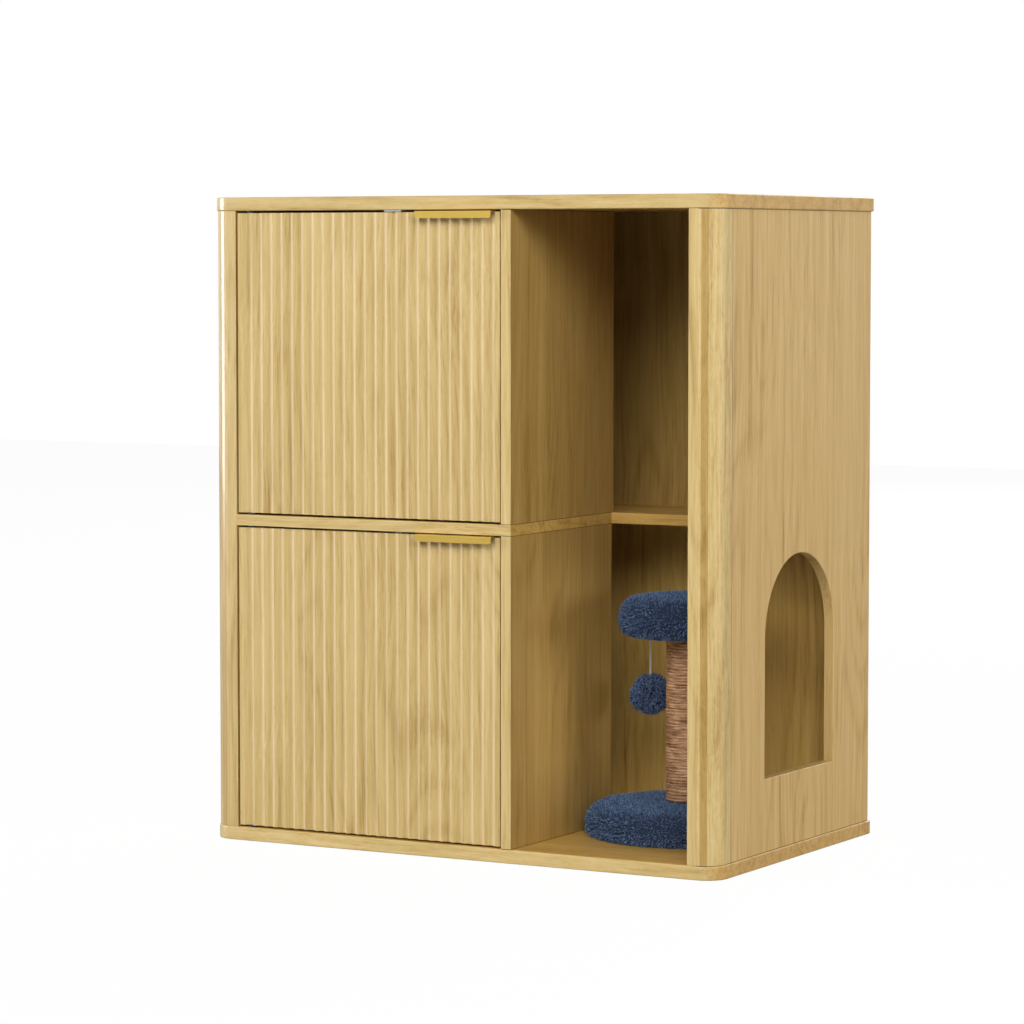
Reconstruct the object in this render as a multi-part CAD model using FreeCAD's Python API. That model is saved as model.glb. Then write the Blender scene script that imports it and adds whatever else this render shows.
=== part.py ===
"""Cat litter box cabinet with two fluted doors, an open bay, an arched cat door and a cat tree.

Millimetres. +X runs to the right along the front, +Y to the back, +Z up. The origin is the
centre of the standing face, under the middle of the top panel's outline.
"""
import FreeCAD, Part
import math
import os

Vector = FreeCAD.Vector
X_AXIS, Y_AXIS, Z_AXIS = Vector(1, 0, 0), Vector(0, 1, 0), Vector(0, 0, 1)

# ---------------------------------------------------------------- carcass
cabinet_width = 795.0
cabinet_depth = 490.0
cabinet_height = 900.0
outer_panel_thickness = 19.0
board_thickness = 15.0
panel_overhang_side = 3.0
panel_overhang_back = 4.0
panel_edge_radius = 1.8
panel_back_corner_radius = 3.0

post_radius = 28.0
post_depth = 45.0
stile_width = 14.0
stile_depth = 60.0

left_bay_width = 424.0
lower_bay_height = 424.5
upper_divider_depth = 295.0
lower_divider_depth = 290.0
back_panel_recess = 10.0

# ---------------------------------------------------------------- arched cat door
arch_width = 220.0
arch_sill_height = 118.0
arch_spring_height = 306.0
arch_centre_from_front = 257.5
arch_edge_chamfer = 0.8

# ---------------------------------------------------------------- doors
door_thickness = 15.0
door_side_gap = 2.5
door_top_gap = 3.0
door_bottom_gap = 3.0
door_recess = 1.5
flute_count = 24
flute_margin = 7.5
flute_depth = 4.0
flute_land = 0.6

# ---------------------------------------------------------------- pivot hinges
pivot_from_door_side = 18.0
pivot_from_door_front = 8.5
hinge_pin_radius = 2.5
hinge_pin_in_door = 16.0
hinge_pin_in_bushing = 5.0
bushing_radius = 4.5
bushing_depth = 6.0
bushing_flange_radius = 6.5
bushing_flange_clearance = 0.3
hinge_running_clearance = 0.04

# ---------------------------------------------------------------- edge pulls
pull_length = 118.5
pull_from_door_side = 7.5
pull_sheet = 1.5
pull_reach = 11.8
pull_lip_height = 9.8
pull_lip_corner_radius = 4.0
pull_bend_per_sheet = 0.6
pull_tab_height = 22.0
pull_tab_length = 80.0
pull_screw_spacing = 56.0
pull_screw_drop = 13.0

# ---------------------------------------------------------------- wood screws
screw_radius = 1.5
screw_tip_radius = 0.45
screw_length = 9.0
screw_head_radius = 3.2
screw_head_height = 2.0
screw_drive_length = 3.8
screw_drive_width = 0.9
screw_drive_depth = 1.0

# ---------------------------------------------------------------- magnetic catches
catch_length = 30.0
catch_depth = 16.0
catch_height = 14.0
catch_edge_radius = 1.2
catch_from_divider = 170.5
catch_screw_spacing = 21.0
catch_screw_from_front = 8.8
catch_screw_head_cover = 0.5
magnet_length = 10.0
magnet_depth = 9.0
magnet_height = 8.0
pole_plate_thickness = 1.0
pole_plate_proud = 0.5
catch_air_gap = 0.3
catch_lip_length = 26.0
catch_lip_height = 2.0
catch_lip_from_door_front = 0.5
strike_length = 28.0
strike_height = 9.0
strike_thickness = 1.2
strike_drop = 2.0
strike_screw_from_end = 3.3

# ---------------------------------------------------------------- carcass fasteners
cam_radius = 7.5
cam_height = 11.8
cam_backset = 24.0
cam_slot_length = 9.0
cam_slot_width = 1.4
cam_slot_depth = 2.0
cam_bolt_radius = 3.0
cam_bolt_neck_radius = 2.4
cam_bolt_thread_length = 11.0
cam_bolt_head_radius = 3.4
cam_bolt_head_height = 2.6
cam_bolt_head_play = 0.6
dowel_radius = 4.0
dowel_length = 30.0
dowel_in_face = 10.0
through_dowel_grip = 12.5
dowel_chamfer = 0.8
insert_clearance = 0.05
hole_end_clearance = 0.4
side_cam_from_post = 50.0
side_cam_from_back_wall = 26.0
divider_cam_from_front = 65.0
divider_cam_from_back = 60.0
shelf_cam_from_stile = 60.0
shelf_cam_from_back_wall = 60.0
bay_shelf_cam_from_edge = 35.0
back_panel_cam_from_side = 129.0
post_dowel_from_side = 13.0
post_dowel_from_back = 16.0
post_joint_dowel_from_end = 172.0
back_panel_dowel_from_end = 106.0
shelf_dowel_from_front = 60.0
shelf_dowel_from_divider_back = 40.0
shelf_dowel_from_side = 152.0

# ---------------------------------------------------------------- cat tree
tree_from_front = 249.0
tree_side_clearance = 0.5
base_cover_height = 45.0
base_board_margin = 12.0
base_top_radius = 22.0
base_bottom_radius = 12.0
cushion_crown = 3.0
crown_drop_half_way = 0.28
perch_radius = 100.5
perch_height = 57.0
perch_board_margin = 12.5
perch_top_radius = 25.0
perch_bottom_radius = 20.0
perch_skin = 7.5
perch_underside_height = 294.5
rope_diameter = 8.7
rope_loops = 24
rope_end_clearance = 0.3
winding_radius = 35.0
core_clearance = 0.2
core_wall = 3.0
plug_height = 22.0
bolt_radius = 4.0
bolt_head_radius = 8.0
bolt_head_height = 4.0
bolt_head_recess = 1.0
bolt_in_plug = 18.0
bolt_socket_radius = 2.5
bolt_socket_depth = 2.5

# ---------------------------------------------------------------- hanging toy
toy_from_pole_axis = 75.5
toy_direction_degrees = 165.4
screw_eye_wire_radius = 0.7
screw_eye_ring_radius = 2.8
screw_eye_shank_radius = 0.9
screw_eye_shank_length = 12.0
link_wire_radius = 0.5
link_ring_radius = 3.0
knot_radius = 2.2
toy_play = 0.3
cord_radius = 1.2
cord_length = 48.0
pompom_radius = 30.0
toy_hole_radius = 7.0

# ---------------------------------------------------------------- drawing aids
touch = 0.01
cut_margin = 1.0

# ---------------------------------------------------------------- planes worked out from the sizes
front_y = -cabinet_depth / 2
side_x = cabinet_width / 2 - panel_overhang_side
side_back_y = cabinet_depth / 2 - panel_overhang_back
inner_x = side_x - board_thickness
floor_z = outer_panel_thickness
ceiling_z = cabinet_height - outer_panel_thickness
shelf_bottom_z = floor_z + lower_bay_height
shelf_top_z = shelf_bottom_z + board_thickness

stile_outer_x = side_x - post_radius
stile_inner_x = stile_outer_x - stile_width
post_back_y = front_y + post_depth
stile_back_y = front_y + stile_depth
divider_left_x = -stile_inner_x + left_bay_width
divider_right_x = divider_left_x + board_thickness
divider_mid_x = divider_left_x + board_thickness / 2
upper_divider_back_y = front_y + upper_divider_depth
lower_divider_back_y = front_y + lower_divider_depth
back_panel_back_y = side_back_y - back_panel_recess
back_wall_y = back_panel_back_y - board_thickness
back_panel_mid_y = back_wall_y + board_thickness / 2
side_mid_x = inner_x + board_thickness / 2

door_left_x = -stile_inner_x + door_side_gap
door_right_x = divider_left_x - door_side_gap
door_front_y = front_y + door_recess
door_back_y = door_front_y + door_thickness
pivot_x = door_left_x + pivot_from_door_side
pivot_y = door_front_y + pivot_from_door_front

tree_x = (divider_right_x + inner_x) / 2
tree_y = front_y + tree_from_front
base_cover_radius = (inner_x - divider_right_x) / 2 - tree_side_clearance
base_cover_top_z = floor_z + base_cover_height
perch_board_z = perch_underside_height + perch_skin
core_radius = winding_radius - rope_diameter - core_clearance
rope_path_radius = winding_radius - rope_diameter / 2
toy_angle = math.radians(toy_direction_degrees)
toy_x = tree_x + toy_from_pole_axis * math.cos(toy_angle)
toy_y = tree_y + toy_from_pole_axis * math.sin(toy_angle)

nodes = {}
hole_tools = {}


# ---------------------------------------------------------------- small helpers
def box(x_low, x_high, y_low, y_high, z_low, z_high):
    """A box between two corners."""
    corner = Vector(x_low, y_low, z_low)
    return Part.makeBox(x_high - x_low, y_high - y_low, z_high - z_low, corner)


def line(start, end):
    return Part.LineSegment(start, end).toShape()


def arc(start, middle, end):
    return Part.Arc(start, middle, end).toShape()


def prism(edges, direction):
    """A closed outline pushed along a direction."""
    return Part.Face(Part.Wire(edges)).extrude(direction)


def corner_arc(centre, radius, start_degrees, end_degrees):
    """A level arc about a centre, from one direction to another."""
    middle_degrees = (start_degrees + end_degrees) / 2
    points = []
    for degrees in (start_degrees, middle_degrees, end_degrees):
        angle = math.radians(degrees)
        points.append(centre + Vector(math.cos(angle), math.sin(angle), 0) * radius)
    return arc(*points)


def profile_arc(centre_r, centre_z, radius, start_degrees, end_degrees):
    """An arc in a profile of radius and height, drawn in the XZ plane."""
    middle_degrees = (start_degrees + end_degrees) / 2
    points = []
    for degrees in (start_degrees, middle_degrees, end_degrees):
        angle = math.radians(degrees)
        points.append(Vector(centre_r + radius * math.cos(angle), 0, centre_z + radius * math.sin(angle)))
    return arc(*points)


def turned(edges, x, y):
    """A profile drawn in the XZ plane, turned about an upright axis."""
    solid = Part.Face(Part.Wire(edges)).revolve(Vector(0, 0, 0), Z_AXIS, 360)
    solid.translate(Vector(x, y, 0))
    return solid


def drill(board, start, direction, radius, depth):
    """Note a round hole in a board, to be cut when all holes are known."""
    tool = Part.makeCylinder(radius, depth, start, direction)
    hole_tools.setdefault(board, []).append(tool)


def mill(board, tool):
    """Note any other recess in a board."""
    hole_tools.setdefault(board, []).append(tool)


def group(name, solids):
    """Put a set of alike loose solids into one node."""
    nodes[name] = Part.makeCompound(solids)


# ---------------------------------------------------------------- carcass boards
def outer_panel(z_low):
    """Top or bottom panel: square at the back, rounded over the corner posts in front."""
    half_width = cabinet_width / 2
    back_y = cabinet_depth / 2
    front_radius = post_radius + panel_overhang_side
    back_radius = panel_back_corner_radius
    right_front = Vector(half_width - front_radius, front_y + front_radius, z_low)
    left_front = Vector(-right_front.x, right_front.y, z_low)
    right_back = Vector(half_width - back_radius, back_y - back_radius, z_low)
    left_back = Vector(-right_back.x, right_back.y, z_low)
    arcs = [
        corner_arc(right_front, front_radius, -90, 0),
        corner_arc(right_back, back_radius, 0, 90),
        corner_arc(left_back, back_radius, 90, 180),
        corner_arc(left_front, front_radius, 180, 270),
    ]
    edges = []
    for index, this_arc in enumerate(arcs):
        next_arc = arcs[(index + 1) % len(arcs)]
        edges.append(this_arc)
        edges.append(line(this_arc.Vertexes[-1].Point, next_arc.Vertexes[0].Point))
    panel = prism(edges, Z_AXIS * outer_panel_thickness)
    rims = [edge for edge in panel.Edges if edge.BoundBox.ZLength < touch]
    return panel.makeFillet(panel_edge_radius, rims)


def side_panel(side):
    """Side panel on the left (-1) or right (+1), from the corner post to the back."""
    x_values = sorted((side * inner_x, side * side_x))
    return box(x_values[0], x_values[1], post_back_y, side_back_y, floor_z, ceiling_z)


def arch_outline(x):
    """Outline of the cat door at a given x: a sill, two jambs and a half circle."""
    centre_y = front_y + arch_centre_from_front
    half = arch_width / 2
    sill_front = Vector(x, centre_y - half, arch_sill_height)
    sill_back = Vector(x, centre_y + half, arch_sill_height)
    spring_front = Vector(x, centre_y - half, arch_spring_height)
    spring_back = Vector(x, centre_y + half, arch_spring_height)
    crown = Vector(x, centre_y, arch_spring_height + half)
    return [
        line(sill_front, sill_back),
        line(sill_back, spring_back),
        arc(spring_back, crown, spring_front),
        line(spring_front, sill_front),
    ]


def arched_side_panel():
    panel = side_panel(1)
    opening = prism(arch_outline(inner_x - cut_margin), X_AXIS * (board_thickness + 2 * cut_margin))
    panel = panel.cut(opening)
    rim = [edge for edge in panel.Edges if is_arch_rim(edge)]
    return panel.makeChamfer(arch_edge_chamfer, rim)


def is_arch_rim(edge):
    """True for the edges round the cat door on the two faces of the side panel."""
    bounds = edge.BoundBox
    centre_y = front_y + arch_centre_from_front
    on_a_face = bounds.XLength < touch
    beside = abs(bounds.Center.y - centre_y) < arch_width / 2 + cut_margin
    high_enough = bounds.ZMin > arch_sill_height - cut_margin
    low_enough = bounds.ZMax < arch_spring_height + arch_width / 2 + cut_margin
    return on_a_face and beside and high_enough and low_enough


def corner_post(side):
    """Quarter-round post: its arc runs from the front face round to the side."""
    centre = Vector(side * stile_outer_x, front_y + post_radius, floor_z)
    front = Vector(side * stile_outer_x, front_y, floor_z)
    outer = Vector(side * side_x, front_y + post_radius, floor_z)
    diagonal = Vector(side * math.sqrt(0.5), -math.sqrt(0.5), 0) * post_radius
    outer_back = Vector(side * side_x, post_back_y, floor_z)
    inner_back = Vector(side * stile_outer_x, post_back_y, floor_z)
    edges = [
        arc(front, centre + diagonal, outer),
        line(outer, outer_back),
        line(outer_back, inner_back),
        line(inner_back, front),
    ]
    return prism(edges, Z_AXIS * (ceiling_z - floor_z))


def front_stile(side):
    x_values = sorted((side * stile_inner_x, side * stile_outer_x))
    return box(x_values[0], x_values[1], front_y, stile_back_y, floor_z, ceiling_z)


def shelf():
    """Middle shelf: full depth in the closed bay, only behind the dividers in the open bay."""
    outline = [
        (-stile_inner_x, front_y),
        (divider_right_x, front_y),
        (divider_right_x, lower_divider_back_y),
        (inner_x, lower_divider_back_y),
        (inner_x, back_panel_back_y),
        (-inner_x, back_panel_back_y),
        (-inner_x, stile_back_y),
        (-stile_inner_x, stile_back_y),
    ]
    corners = [Vector(x, y, shelf_bottom_z) for x, y in outline]
    edges = [line(corners[i - 1], corners[i]) for i in range(len(corners))]
    return prism(edges, Z_AXIS * board_thickness)


def make_carcass():
    nodes["top_panel"] = outer_panel(ceiling_z)
    nodes["bottom_panel"] = outer_panel(0)
    nodes["left_side_panel"] = side_panel(-1)
    nodes["right_side_panel"] = arched_side_panel()
    nodes["left_corner_post"] = corner_post(-1)
    nodes["right_corner_post"] = corner_post(1)
    nodes["left_front_stile"] = front_stile(-1)
    nodes["right_front_stile"] = front_stile(1)
    nodes["upper_divider"] = box(
        divider_left_x, divider_right_x, front_y, upper_divider_back_y, shelf_top_z, ceiling_z)
    nodes["lower_divider"] = box(
        divider_left_x, divider_right_x, front_y, lower_divider_back_y, floor_z, shelf_bottom_z)
    nodes["middle_shelf"] = shelf()
    nodes["upper_back_panel"] = box(
        -inner_x, inner_x, back_wall_y, back_panel_back_y, shelf_top_z, ceiling_z)
    nodes["lower_back_panel"] = box(
        -inner_x, inner_x, back_wall_y, back_panel_back_y, floor_z, shelf_bottom_z)


# ---------------------------------------------------------------- doors and their hardware
def fluted_door(z_low, z_high):
    """A door board whose front has a row of hollow upright flutes with narrow lands between."""
    pitch = (door_right_x - door_left_x - 2 * flute_margin) / flute_count
    edges = []
    last = Vector(door_left_x, door_front_y, z_low)
    for index in range(flute_count):
        flute_left = door_left_x + flute_margin + index * pitch
        start = Vector(flute_left + flute_land / 2, door_front_y, z_low)
        bottom = Vector(flute_left + pitch / 2, door_front_y + flute_depth, z_low)
        end = Vector(flute_left + pitch - flute_land / 2, door_front_y, z_low)
        edges.append(line(last, start))
        edges.append(arc(start, bottom, end))
        last = end
    right_front = Vector(door_right_x, door_front_y, z_low)
    right_back = Vector(door_right_x, door_back_y, z_low)
    left_back = Vector(door_left_x, door_back_y, z_low)
    left_front = Vector(door_left_x, door_front_y, z_low)
    edges.append(line(last, right_front))
    edges.append(line(right_front, right_back))
    edges.append(line(right_back, left_back))
    edges.append(line(left_back, left_front))
    return prism(edges, Z_AXIS * (z_high - z_low))


def edge_pull(door_top_z):
    """Sheet metal pull: a lip in front, a flange over the door's top edge and a tab behind it."""
    right_x = door_right_x - pull_from_door_side
    left_x = right_x - pull_length
    mid_x = (left_x + right_x) / 2
    lip_front_y = door_front_y - pull_reach
    top_z = door_top_z + pull_sheet
    radius = pull_lip_corner_radius
    low_z = top_z - pull_lip_height
    half_turn = math.sqrt(0.5) * radius
    lip_edges = [
        line(Vector(left_x, lip_front_y, top_z), Vector(left_x, lip_front_y, low_z + radius)),
        arc(
            Vector(left_x, lip_front_y, low_z + radius),
            Vector(left_x + radius - half_turn, lip_front_y, low_z + radius - half_turn),
            Vector(left_x + radius, lip_front_y, low_z)),
        line(Vector(left_x + radius, lip_front_y, low_z), Vector(right_x - radius, lip_front_y, low_z)),
        arc(
            Vector(right_x - radius, lip_front_y, low_z),
            Vector(right_x - radius + half_turn, lip_front_y, low_z + radius - half_turn),
            Vector(right_x, lip_front_y, low_z + radius)),
        line(Vector(right_x, lip_front_y, low_z + radius), Vector(right_x, lip_front_y, top_z)),
        line(Vector(right_x, lip_front_y, top_z), Vector(left_x, lip_front_y, top_z)),
    ]
    lip = prism(lip_edges, Y_AXIS * pull_sheet)
    tab_back_y = door_back_y + pull_sheet
    flange = box(left_x, right_x, lip_front_y, tab_back_y, door_top_z, top_z)
    tab_left, tab_right = mid_x - pull_tab_length / 2, mid_x + pull_tab_length / 2
    tab = box(tab_left, tab_right, door_back_y, tab_back_y, door_top_z - pull_tab_height, top_z)
    pull = lip.fuse([flange, tab]).removeSplitter()
    bends = [edge for edge in pull.Edges if is_pull_bend(edge, lip_front_y, tab_back_y, top_z)]
    return pull.makeFillet(pull_sheet * pull_bend_per_sheet, bends), mid_x


def is_pull_bend(edge, lip_front_y, tab_back_y, top_z):
    """True for the two long outer bends of a pull."""
    centre = edge.BoundBox.Center
    long_enough = edge.BoundBox.XLength > pull_tab_length / 2
    at_top = abs(centre.z - top_z) < touch
    at_bend = abs(centre.y - lip_front_y) < touch or abs(centre.y - tab_back_y) < touch
    return long_enough and at_top and at_bend


def slot_outline(centre, run, side, length, width):
    """Outline of a straight slot about a centre, along one direction and across another."""
    start = centre - run * (length / 2) - side * (width / 2)
    corners = [start, start + run * length, start + run * length + side * width, start + side * width]
    return [line(corners[i - 1], corners[i]) for i in range(4)]


def wood_screw(seat, direction, board, under_head):
    """Pan-head screw in a direction square to X: the head's underside lies at the seat."""
    shank_length = screw_length + under_head
    head = Part.makeCylinder(screw_head_radius, screw_head_height, seat, direction * -1)
    shank = Part.makeCylinder(screw_radius, shank_length - screw_radius, seat, direction)
    tip_start = seat + direction * (shank_length - screw_radius)
    tip = Part.makeCone(screw_radius, screw_tip_radius, screw_radius, tip_start, direction)
    screw = head.fuse([shank, tip]).removeSplitter()
    face_centre = seat - direction * (screw_head_height - screw_drive_depth)
    across = X_AXIS
    other = direction.cross(across)
    for run, side in ((across, other), (other, across)):
        edges = slot_outline(face_centre, run, side, screw_drive_length, screw_drive_width)
        screw = screw.cut(prism(edges, direction * -2 * screw_drive_depth))
    hole_start = seat + direction * under_head
    drill(board, hole_start, direction, screw_radius + insert_clearance, screw_length + hole_end_clearance)
    return screw


def make_pull(level, door_top_z):
    door = level + "_door"
    pull, mid_x = edge_pull(door_top_z)
    seat_y = door_back_y + pull_sheet
    screws = []
    for side in (-1, 1):
        seat = Vector(mid_x + side * pull_screw_spacing / 2, seat_y, door_top_z - pull_screw_drop)
        screws.append(wood_screw(seat, Y_AXIS * -1, door, pull_sheet))
        hole = Part.makeCylinder(screw_radius + insert_clearance, pull_sheet, seat, Y_AXIS * -1)
        pull = pull.cut(hole)
    nodes[door + "_pull"] = pull
    group(level + "_pull_screws", screws)


def make_hinge(level, door_low_z, door_high_z, seat_low_z, seat_high_z):
    """A pin in each end of the door, turning in a flanged bushing in the panel beyond."""
    door = level + "_door"
    pins = []
    bushings = []
    for door_z, seat_z, upward in ((door_low_z, seat_low_z, -1), (door_high_z, seat_high_z, 1)):
        direction = Z_AXIS * upward
        gap = abs(seat_z - door_z)
        flange_height = gap - bushing_flange_clearance
        start = Vector(pivot_x, pivot_y, door_z) - direction * hinge_pin_in_door
        pin_length = hinge_pin_in_door + gap + hinge_pin_in_bushing
        pin = Part.makeCylinder(hinge_pin_radius, pin_length, start, direction)
        pins.append(pin)
        pin_hole_depth = hinge_pin_in_door + hole_end_clearance
        drill(door, Vector(pivot_x, pivot_y, door_z), direction * -1,
              hinge_pin_radius + insert_clearance, pin_hole_depth)
        seat = Vector(pivot_x, pivot_y, seat_z)
        body = Part.makeCylinder(bushing_radius, bushing_depth, seat, direction)
        flange = Part.makeCylinder(bushing_flange_radius, flange_height, seat, direction * -1)
        bore_start = seat - direction * flange_height
        bore_length = flange_height + bushing_depth
        bore_radius = hinge_pin_radius + hinge_running_clearance
        bore = Part.makeCylinder(bore_radius, bore_length, bore_start, direction)
        bushings.append(body.fuse(flange).removeSplitter().cut(bore))
        drill(seat_board(seat_z), seat, direction, bushing_radius + insert_clearance,
              bushing_depth + hole_end_clearance)
    group(level + "_hinge_pins", pins)
    return bushings


def seat_board(seat_z):
    """The board whose face lies at a hinge seat's height."""
    heights = {floor_z: "bottom_panel", ceiling_z: "top_panel"}
    return heights.get(seat_z, "middle_shelf")


def make_catch(level, mount_z, mount_board):
    """Magnetic catch under a board, and the steel strike plate on the door's back."""
    door = level + "_door"
    mid_x = divider_left_x - catch_from_divider
    strike_back_y = door_back_y + strike_thickness
    pole_front_y = strike_back_y + catch_air_gap
    front = pole_front_y + pole_plate_proud
    low_z = mount_z - catch_height
    left_x, right_x = mid_x - catch_length / 2, mid_x + catch_length / 2
    housing = box(left_x, right_x, front, front + catch_depth, low_z, mount_z)
    lower_edges = [edge for edge in housing.Edges if edge.BoundBox.ZMax < low_z + touch]
    housing = housing.makeFillet(catch_edge_radius, lower_edges)
    magnet_mid_z = mount_z - catch_height / 2
    magnet_low_z = magnet_mid_z - magnet_height / 2
    magnet_high_z = magnet_mid_z + magnet_height / 2
    half = magnet_length / 2
    pocket_back_y = front + magnet_depth
    magnet = box(mid_x - half, mid_x + half, front, pocket_back_y, magnet_low_z, magnet_high_z)
    plates = []
    for plate_z in (magnet_low_z - pole_plate_thickness, magnet_high_z):
        plates.append(box(mid_x - half, mid_x + half, pole_front_y, pocket_back_y,
                          plate_z, plate_z + pole_plate_thickness))
    housing = housing.cut([magnet] + plates)
    screws = []
    for side in (-1, 1):
        screw_y = front + catch_screw_from_front
        seat_z = low_z + catch_screw_head_cover + screw_head_height
        seat = Vector(mid_x + side * catch_screw_spacing / 2, screw_y, seat_z)
        grip = mount_z - seat.z
        screws.append(wood_screw(seat, Z_AXIS, mount_board, grip))
        shank_hole = Part.makeCylinder(screw_radius + insert_clearance, grip, seat, Z_AXIS)
        head_hole = Part.makeCylinder(screw_head_radius + insert_clearance, catch_height, seat, Z_AXIS * -1)
        housing = housing.cut([shank_hole, head_hole])
    nodes[level + "_catch_housing"] = housing
    if level == "upper":
        nodes["upper_catch_lip"] = catch_lip(mid_x, front, mount_z)

    door_top_z = mount_z - door_top_gap
    strike_high_z = door_top_z - strike_drop
    strike_mid_z = strike_high_z - strike_height / 2
    strike = box(mid_x - strike_length / 2, mid_x + strike_length / 2, door_back_y, strike_back_y,
                 strike_high_z - strike_height, strike_high_z)
    strike_screws = []
    for side in (-1, 1):
        seat_x = mid_x + side * (strike_length / 2 - strike_screw_from_end)
        hole_start = Vector(seat_x, strike_back_y, strike_mid_z)
        hole = Part.makeCylinder(screw_radius + insert_clearance, strike_thickness, hole_start, Y_AXIS * -1)
        strike = strike.cut(hole)
        strike_screws.append(strike_pin(hole_start, door))
    nodes[level + "_strike_plate"] = strike
    group(level + "_strike_screws", strike_screws)
    return magnet, plates, screws


def catch_lip(mid_x, housing_front, mount_z):
    """Flat plate under a board, from a catch's front over the door, nearly to the door's front."""
    left_x, right_x = mid_x - catch_lip_length / 2, mid_x + catch_lip_length / 2
    lip_front = door_front_y + catch_lip_from_door_front
    return box(left_x, right_x, lip_front, housing_front, mount_z - catch_lip_height, mount_z)


def strike_pin(seat, door):
    """Flush countersunk pin that holds a strike plate on the door."""
    length = screw_length + strike_thickness
    pin = Part.makeCylinder(screw_radius, length, seat, Y_AXIS * -1)
    hole_start = seat - Y_AXIS * strike_thickness
    drill(door, hole_start, Y_AXIS * -1, screw_radius + insert_clearance, screw_length + hole_end_clearance)
    return pin


def make_doors():
    lower_low_z, lower_high_z = floor_z + door_bottom_gap, shelf_bottom_z - door_top_gap
    upper_low_z, upper_high_z = shelf_top_z + door_bottom_gap, ceiling_z - door_top_gap
    nodes["upper_door"] = fluted_door(upper_low_z, upper_high_z)
    nodes["lower_door"] = fluted_door(lower_low_z, lower_high_z)
    make_pull("upper", upper_high_z)
    make_pull("lower", lower_high_z)
    bushings = make_hinge("upper", upper_low_z, upper_high_z, shelf_top_z, ceiling_z)
    bushings += make_hinge("lower", lower_low_z, lower_high_z, floor_z, shelf_bottom_z)
    group("hinge_bushings", bushings)
    magnets, plates, screws = [], [], []
    for level, mount_z, board in (
            ("upper", ceiling_z, "top_panel"), ("lower", shelf_bottom_z, "middle_shelf")):
        magnet, its_plates, its_screws = make_catch(level, mount_z, board)
        magnets.append(magnet)
        plates += its_plates
        screws += its_screws
    group("catch_magnets", magnets)
    group("catch_pole_plates", plates)
    group("catch_screws", screws)


# ---------------------------------------------------------------- carcass joints
def dowel(seat, into_face, face_board, edge_board):
    """Wood dowel: a short end in one board's face, a long end in the other's edge."""
    start = seat + into_face * dowel_in_face
    drill(face_board, seat, into_face, dowel_radius + insert_clearance, dowel_in_face + hole_end_clearance)
    drill(edge_board, seat, into_face * -1, dowel_radius + insert_clearance,
          dowel_length - dowel_in_face + hole_end_clearance)
    return chamfered_rod(start, into_face * -1, dowel_length)


def through_dowel(seat, below, middle, above):
    """Longer dowel that goes through the shelf into the boards above and below it."""
    length = board_thickness + 2 * through_dowel_grip
    start = Vector(seat.x, seat.y, shelf_bottom_z - through_dowel_grip)
    hole_depth = length + 2 * hole_end_clearance
    for board in (below, middle, above):
        hole_start = start - Z_AXIS * hole_end_clearance
        drill(board, hole_start, Z_AXIS, dowel_radius + insert_clearance, hole_depth)
    return chamfered_rod(start, Z_AXIS, length)


def chamfered_rod(start, direction, length):
    rod = Part.makeCylinder(dowel_radius, length, start, direction)
    rims = [edge for edge in rod.Edges if edge.Curve.TypeId == "Part::GeomCircle"]
    return rod.makeChamfer(dowel_chamfer, rims)


def cam_joint(seat, direction, bolt_board, cam_board, cam_face):
    """Bolt screwed into one board's face, held by a cam nut let into the other board.

    direction points from the bolt's board into the cam's board, cam_face out of the cam's mouth.
    """
    thread = Part.makeCylinder(cam_bolt_radius, cam_bolt_thread_length, seat, direction * -1)
    neck_length = cam_backset - cam_bolt_head_height / 2
    neck = Part.makeCylinder(cam_bolt_neck_radius, neck_length, seat, direction)
    head_start = seat + direction * neck_length
    head = Part.makeCylinder(cam_bolt_head_radius, cam_bolt_head_height, head_start, direction)
    bolt = thread.fuse([neck, head]).removeSplitter()

    centre = seat + direction * cam_backset
    mouth = centre + cam_face * (board_thickness / 2)
    cam = Part.makeCylinder(cam_radius, cam_height, mouth, cam_face * -1)
    cavity_radius = cam_bolt_head_radius + 2 * insert_clearance
    cavity_length = cam_radius + cut_margin + cam_bolt_head_height / 2 + cam_bolt_head_play
    cavity_start = centre - direction * (cam_radius + cut_margin)
    cavity = Part.makeCylinder(cavity_radius, cavity_length, cavity_start, direction)
    cam = cam.cut(cavity)
    across = direction.cross(cam_face)
    for run, side in ((direction, across), (across, direction)):
        edges = slot_outline(mouth, run, side, cam_slot_length, cam_slot_width)
        cam = cam.cut(prism(edges, cam_face * -cam_slot_depth))

    drill(bolt_board, seat, direction * -1, cam_bolt_radius + insert_clearance,
          cam_bolt_thread_length + hole_end_clearance)
    drill(cam_board, mouth, cam_face * -1, cam_radius + insert_clearance, cam_height + hole_end_clearance)
    drill(cam_board, seat, direction, cavity_radius, cam_backset)
    return bolt, cam


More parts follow.
